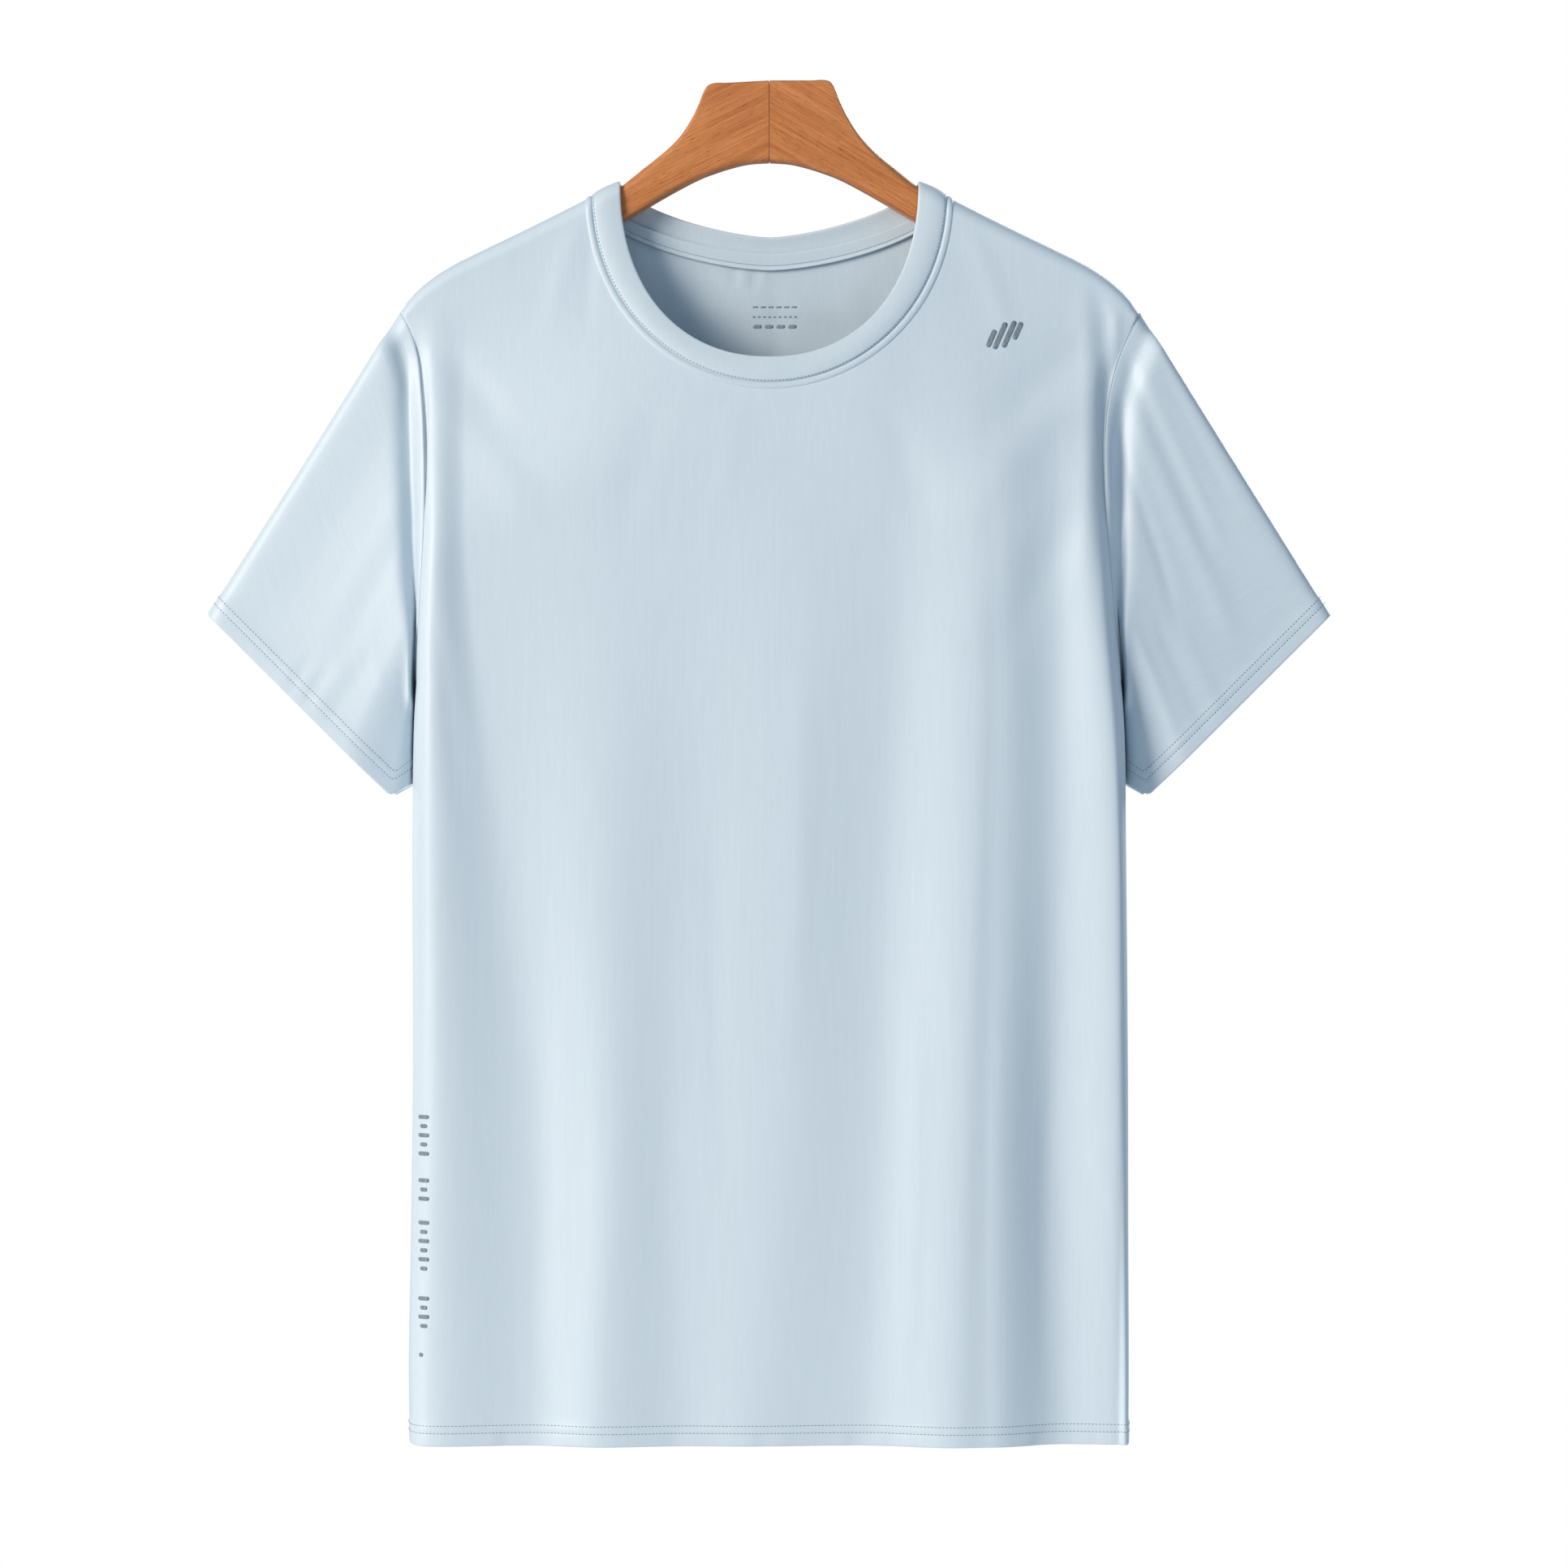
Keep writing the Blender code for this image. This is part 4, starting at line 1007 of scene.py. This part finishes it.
def hanger_half(name, hand, material):
    """One half of the hanger, with its mitred face and rounded end."""
    stations = [(MITRE_GAP / 2 + x * MM, 1, inset * MM) for x, inset in MITRE_EDGE]
    along = np.concatenate([np.linspace(*run) for run in ARM_STEPS])
    stations += [(x * MM, 1, 0) for x in along]
    stations += [(HANGER_REACH - short * MM, share, 0) for short, share in ARM_END]
    vertices = []
    for x, share, inset in stations:
        vertices += [(hand * px, py, pz) for px, py, pz in arm_section(x, share, inset, hand)]
    size = len(vertices) // len(stations)
    faces = []
    for row in range(len(stations) - 1):
        faces += ring_faces(row * size, (row + 1) * size, size)
    faces += [range(size), range(len(vertices))[-size:]]
    half = new_object(name, vertices, faces, material)
    bore = capped_mesh(
        "bore", bmesh.ops.create_cone, segments=32,
        radius1=BORE_RADIUS, radius2=BORE_RADIUS, depth=2 * BORE_DEPTH,
    )
    cutter = placed("bore", bore)
    cut = half.modifiers.new("bore", "BOOLEAN")
    cut.operation = "DIFFERENCE"
    cut.object = cutter
    bpy.context.view_layer.update()
    evaluated = half.evaluated_get(bpy.context.evaluated_depsgraph_get())
    mesh = bpy.data.meshes.new_from_object(evaluated)
    half.modifiers.clear()
    half.data = mesh
    bpy.data.objects.remove(cutter, do_unlink=True)
    mesh.set_sharp_from_angle(angle=math.radians(40))
    return half


# ---- build

def build_shirt():
    """Shells of the cloth pieces, sewn to each other."""
    front = panel_grid(FRONT)
    back = panel_grid(BACK)
    walls = hem_walls(front[:, 0, 2] - HEM_Z)
    pieces = [
        cloth_piece("front_cloth", front, 1, False, walls),
        cloth_piece("back_cloth", back, -1, False, walls),
    ]
    for name, hand in (("sleeve_left_cloth", LEFT), ("sleeve_right_cloth", RIGHT)):
        points = sleeve_grid(front, back, hand)
        distance = np.full(points.shape[0], 1.0)
        distance[-len(HEM_EDGE):] = np.array(HEM_EDGE[::-1]) * MM
        walls = hem_walls(distance)
        pieces.append(cloth_piece(name, points, hand, True, walls))
    band_walls = BAND_SHELL * (0.12 + 0.88 * quarter((1 - np.array(BAND_SHARES)) / 0.07))
    pieces.append(cloth_piece("neckband_rib", band_grid(), 1, True, band_walls))
    sew(pieces)
    tape = tape_grid()
    tape_wall = 1.0 * MM * (0.2 + 0.8 * lens(np.linspace(-1, 1, 17), 6.0))
    tape_wall[1:5] += np.array([0.5, 0.9, 0.9, 0.3]) * MM
    pieces.append(cloth_piece("neck_tape_cloth", tape, 1, False, tape_wall))
    return {piece["name"]: piece for piece in pieces}


def dress(pieces):
    """Materials and shells of the cloth pieces, in place of their hidden nodes."""
    cloth = knit("cloth_knit", CLOTH)
    left = knit("sleeve_left_knit", CLOTH, 16.0)
    right = knit("sleeve_right_knit", CLOTH, -58.0)
    band = knit("band_knit", BAND, 0.0, 1.1, 0.35, 0.4, 0.5)
    tape = knit("tape_knit", TAPE, 0.0, 1.0, 0.5, 0.3, 0.6)
    arms, neck = ["hanger_left_wood", "hanger_right_wood"], ["back_cloth"]
    sheets = (
        ("front_cloth", cloth, "front", "cloth", (0.492, 0.715), 0.305, "hung", arms),
        ("back_cloth", cloth, "back", "cloth", (0.492, 0.72), 0.325, "hung", arms),
        ("sleeve_left_cloth", left, "sleeve_left", "cloth", (0.42, 0.19), 0.05, "hung", arms),
        ("sleeve_right_cloth", right, "sleeve_right", "cloth", (0.42, 0.19), 0.05, "hung", arms),
        ("neckband_rib", band, "neckband", "rib", (0.50, 0.016), None, "stretched", neck),
        ("neck_tape_cloth", tape, "neck_tape", "tape", (0.195, 0.0124), 0.0019, "stretched", neck),
    )
    for name, material, node, slot, flat, area, held, rests in sheets:
        made = shell(pieces[name], material)
        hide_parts(node)


# Raised strip outside the neck seam: distance from it and height, in mm.
PIPING = (
    (0.5, -0.3), (0.8, 0.3), (1.3, 0.62), (2, 0.78), (2.7, 0.76), (3.4, 0.6), (4, 0.3),
    (4.3, -0.2),
)
PIPING_SINK = 0.12 * MM
TAPE_STITCH_ROW = 6
# Size of the darker strand in the armhole seams, which paints the shade of their grooves.
SEAM_STRAND = 0.2 * MM
# Printed bars: x, z, width, height, turn.
CHEST_PRINT = (
    (126.6, -149.2, 3, 11, -24),
    (131.6, -147.6, 3, 17, -24),
    (136.8, -146.6, 3, 17, -24),
    (141.8, -144.6, 3, 11, -24),
)
SIDE_PRINT_X = -196.0
SIDE_PRINT_GROUPS = ((-592, 5), (-628, 3), (-652, 6), (-695, 4))
NECK_PRINT_ROWS = ((-127.6, 6, 3.2, 1.1), (-133.2, 9, 1.7, 1), (-138.6, 4, 5, 2.2))


def piping_strip(material):
    """Raised strip on the cloth round the neck seam."""
    points = np.stack([
        ring(neck_seam(FRONT, out), neck_seam(BACK, out)) for out in column(PIPING, 0)
    ])
    normals = grid_normals(points, True) * -1
    top = points + normals * (SHELL / 2 + column(PIPING, 1))[:, None, None]
    under = points - normals * PIPING_SINK
    vertices = np.concatenate((top.reshape(-1, 3), under.reshape(-1, 3)))
    return new_object("neck_piping", vertices, grid_faces(*points.shape[:2], True), material)


def side_print():
    """Groups of short bars down the left flank, and a dot under them."""
    marks = [
        (SIDE_PRINT_X, top - 5.2 * index, 4.2 if index % 2 else 6.4, 2.3, 0)
        for top, count in SIDE_PRINT_GROUPS for index in range(count)
    ]
    return marks + [(SIDE_PRINT_X - 1.6, -727, 2.4, 2.4, 0)]


def neck_print():
    """Rows of dashes printed inside the back neck."""
    return [
        (3 + (index - (count - 1) / 2) * 27 / count, height, wide, tall, 0)
        for height, count, wide, tall in NECK_PRINT_ROWS for index in range(count)
    ]


def path_of(piece, row):
    """One row of a piece as a path for stitches."""
    return piece["outer"][row], piece["normals"][row], piece["around"]


def seam_line(name, piece, material):
    """Thin strand lying in the groove of a sleeve's armhole seam, coloured darker than the cloth:
    painted shade of the seam's groove.
    """
    path, normals = piece["outer"][0], piece["normals"][0]
    ahead = unit(np.roll(path, -1, axis=0) - np.roll(path, 1, axis=0))
    aside = unit(np.cross(ahead, normals))
    rings = []
    for angle in np.arange(6) * math.pi / 3:
        lift = SEAM_STRAND / 2 + SEAM_STRAND * math.sin(angle)
        rings.append(path + normals * lift + aside * SEAM_STRAND * math.cos(angle))
    count = len(path)
    faces = []
    for turn in range(6):
        faces += ring_faces(turn * count, (turn + 1) % 6 * count, count)
    return new_object(name, np.concatenate(rings), faces, material)


def trim(pieces):
    """Stitches, the raised strip outside the neck seam, and the prints."""
    piping = knit("piping_knit", BAND, 0.0, 1.0, 0.3, 0.4, 0.45)
    dark = fibrous("stitch_thread", (0.20, 0.27, 0.32), *THREAD)
    # Darker colour of the armhole seam strands: painted shade of the seam's groove.
    soft = fibrous("seam_shade_strand", (0.45, 0.55, 0.62), *THREAD)
    front, back = pieces["front_cloth"], pieces["back_cloth"]
    for name, height in zip(("hem_stitches_lower", "hem_stitches_upper"), HEM_ROWS):
        row = HEM_EDGE.index(height)
        loop = ring(front["outer"][row], back["outer"][row])
        normals = ring(front["normals"][row], back["normals"][row])
        stitches(name, [(loop, normals, True)], dark)
    for hand in ("left", "right"):
        sleeve = pieces[f"sleeve_{hand}_cloth"]
        rows = [path_of(sleeve, -1 - HEM_EDGE.index(height)) for height in HEM_ROWS]
        stitches(f"cuff_{hand}_stitches", rows, dark)
    seam_row = path_of(pieces["neckband_rib"], 1)
    stitches("neck_seam_stitches", [seam_row], dark, width=0.36)
    piping_strip(piping)
    row = path_of(pieces["neck_tape_cloth"], TAPE_STITCH_ROW)
    stitches("tape_stitches", [row], dark, step=1.5, length=1.1, width=0.4)
    # Armhole seam strands, darker than the cloth: painted shade along the seam grooves.
    for hand in ("left", "right"):
        sleeve = pieces[f"sleeve_{hand}_cloth"]
        seam_line(f"armhole_{hand}_seam", sleeve, soft)
    chest = fibrous("print_grey", (0.20, 0.25, 0.29), *INK)
    print_marks("chest_print", CHEST_PRINT, FRONT, chest)
    print_marks("side_print", side_print(), FRONT, chest)
    inside = fibrous("label_grey", (0.27, 0.35, 0.42), *INK)
    print_marks("neck_print", neck_print(), BACK, inside)


build_pieces = build_shirt()
for arm, hand, lean in (("left", LEFT, 27.0), ("right", RIGHT, -31.0)):
    arm_half = hanger_half(f"hanger_{arm}_wood", hand, wood(f"wood_{arm}", lean))
    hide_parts(f"hanger_{arm}")
dress(build_pieces)
trim(build_pieces)


# ---- studio

FLOOR_RADIUS = 1.6
FLOOR_Z = -1.15
LAMP_AIM = Vector((0, 0, -0.4))
#   name, place, power, size, colour
LAMPS = (
    ("key", (-4.5, -3.7, 1.3), 342, (2.4, 3), (1.09, 0.975, 0.87)),
    ("fill", (3.6, -3.8, 0), 20, (3, 3), (0.78, 0.91, 1.06)),
    ("top", (0.9, -1.9, 2.9), 14, (2, 1.6), (0.95, 0.98, 1)),
    ("rear", (2.6, 4.2, 1.6), 175, (2.6, 2.6), (1, 0.99, 0.97)),
    ("rear_fill", (-3.2, 4, 0.4), 42, (3, 3), (0.88, 0.95, 1)),
)
# What lights the cloth, then what the camera sees.
SKIES = (((0.6, 0.86, 1.14, 1), 0.22), ((1, 1, 1, 1), 1))


def studio():
    """Pale floor, soft lights and the camera of the front view."""
    circle = bmesh.ops.create_circle
    floor = placed("floor", capped_mesh("floor", circle, segments=96, radius=FLOOR_RADIUS))
    floor.location = (0, 0, FLOOR_Z)
    pale = Tree("floor_pale")
    pale.set(Base_Color=(0.9, 0.9, 0.9, 1.0), Roughness=0.9, Specular_IOR_Level=0.1)
    floor.data.materials.append(pale.material)
    for name, place, power, size, colour in LAMPS:
        data = bpy.data.lights.new(name, "AREA")
        data.shape = "RECTANGLE"
        data.size, data.size_y = size
        data.energy = power
        data.color = colour
        lamp = placed(name, data)
        lamp.location = place
        lamp.visible_camera = False
        lamp.rotation_euler = (LAMP_AIM - Vector(place)).to_track_quat("-Z", "Y").to_euler()
    world = bpy.data.worlds.new("studio")
    bpy.context.scene.world = world
    world.use_nodes = True
    nodes, links = world.node_tree.nodes, world.node_tree.links
    nodes.clear()
    both = nodes.new("ShaderNodeMixShader")
    for socket, (colour, strength) in enumerate(SKIES, 1):
        sky = nodes.new("ShaderNodeBackground")
        sky.inputs[0].default_value = colour
        sky.inputs[1].default_value = strength
        links.new(sky.outputs[0], both.inputs[socket])
    links.new(nodes.new("ShaderNodeLightPath").outputs["Is Camera Ray"], both.inputs[0])
    links.new(both.outputs[0], nodes.new("ShaderNodeOutputWorld").inputs[0])
    bpy.context.scene.view_settings.view_transform = "Standard"
    data = bpy.data.cameras.new("camera")
    data.lens = 100
    data.sensor_width = 36
    camera = placed("camera", data)
    camera.location = (8.4 * MM, -2.5, -403.2 * MM)
    camera.rotation_euler = (math.radians(90), 0, 0)
    bpy.context.scene.camera = camera


studio()
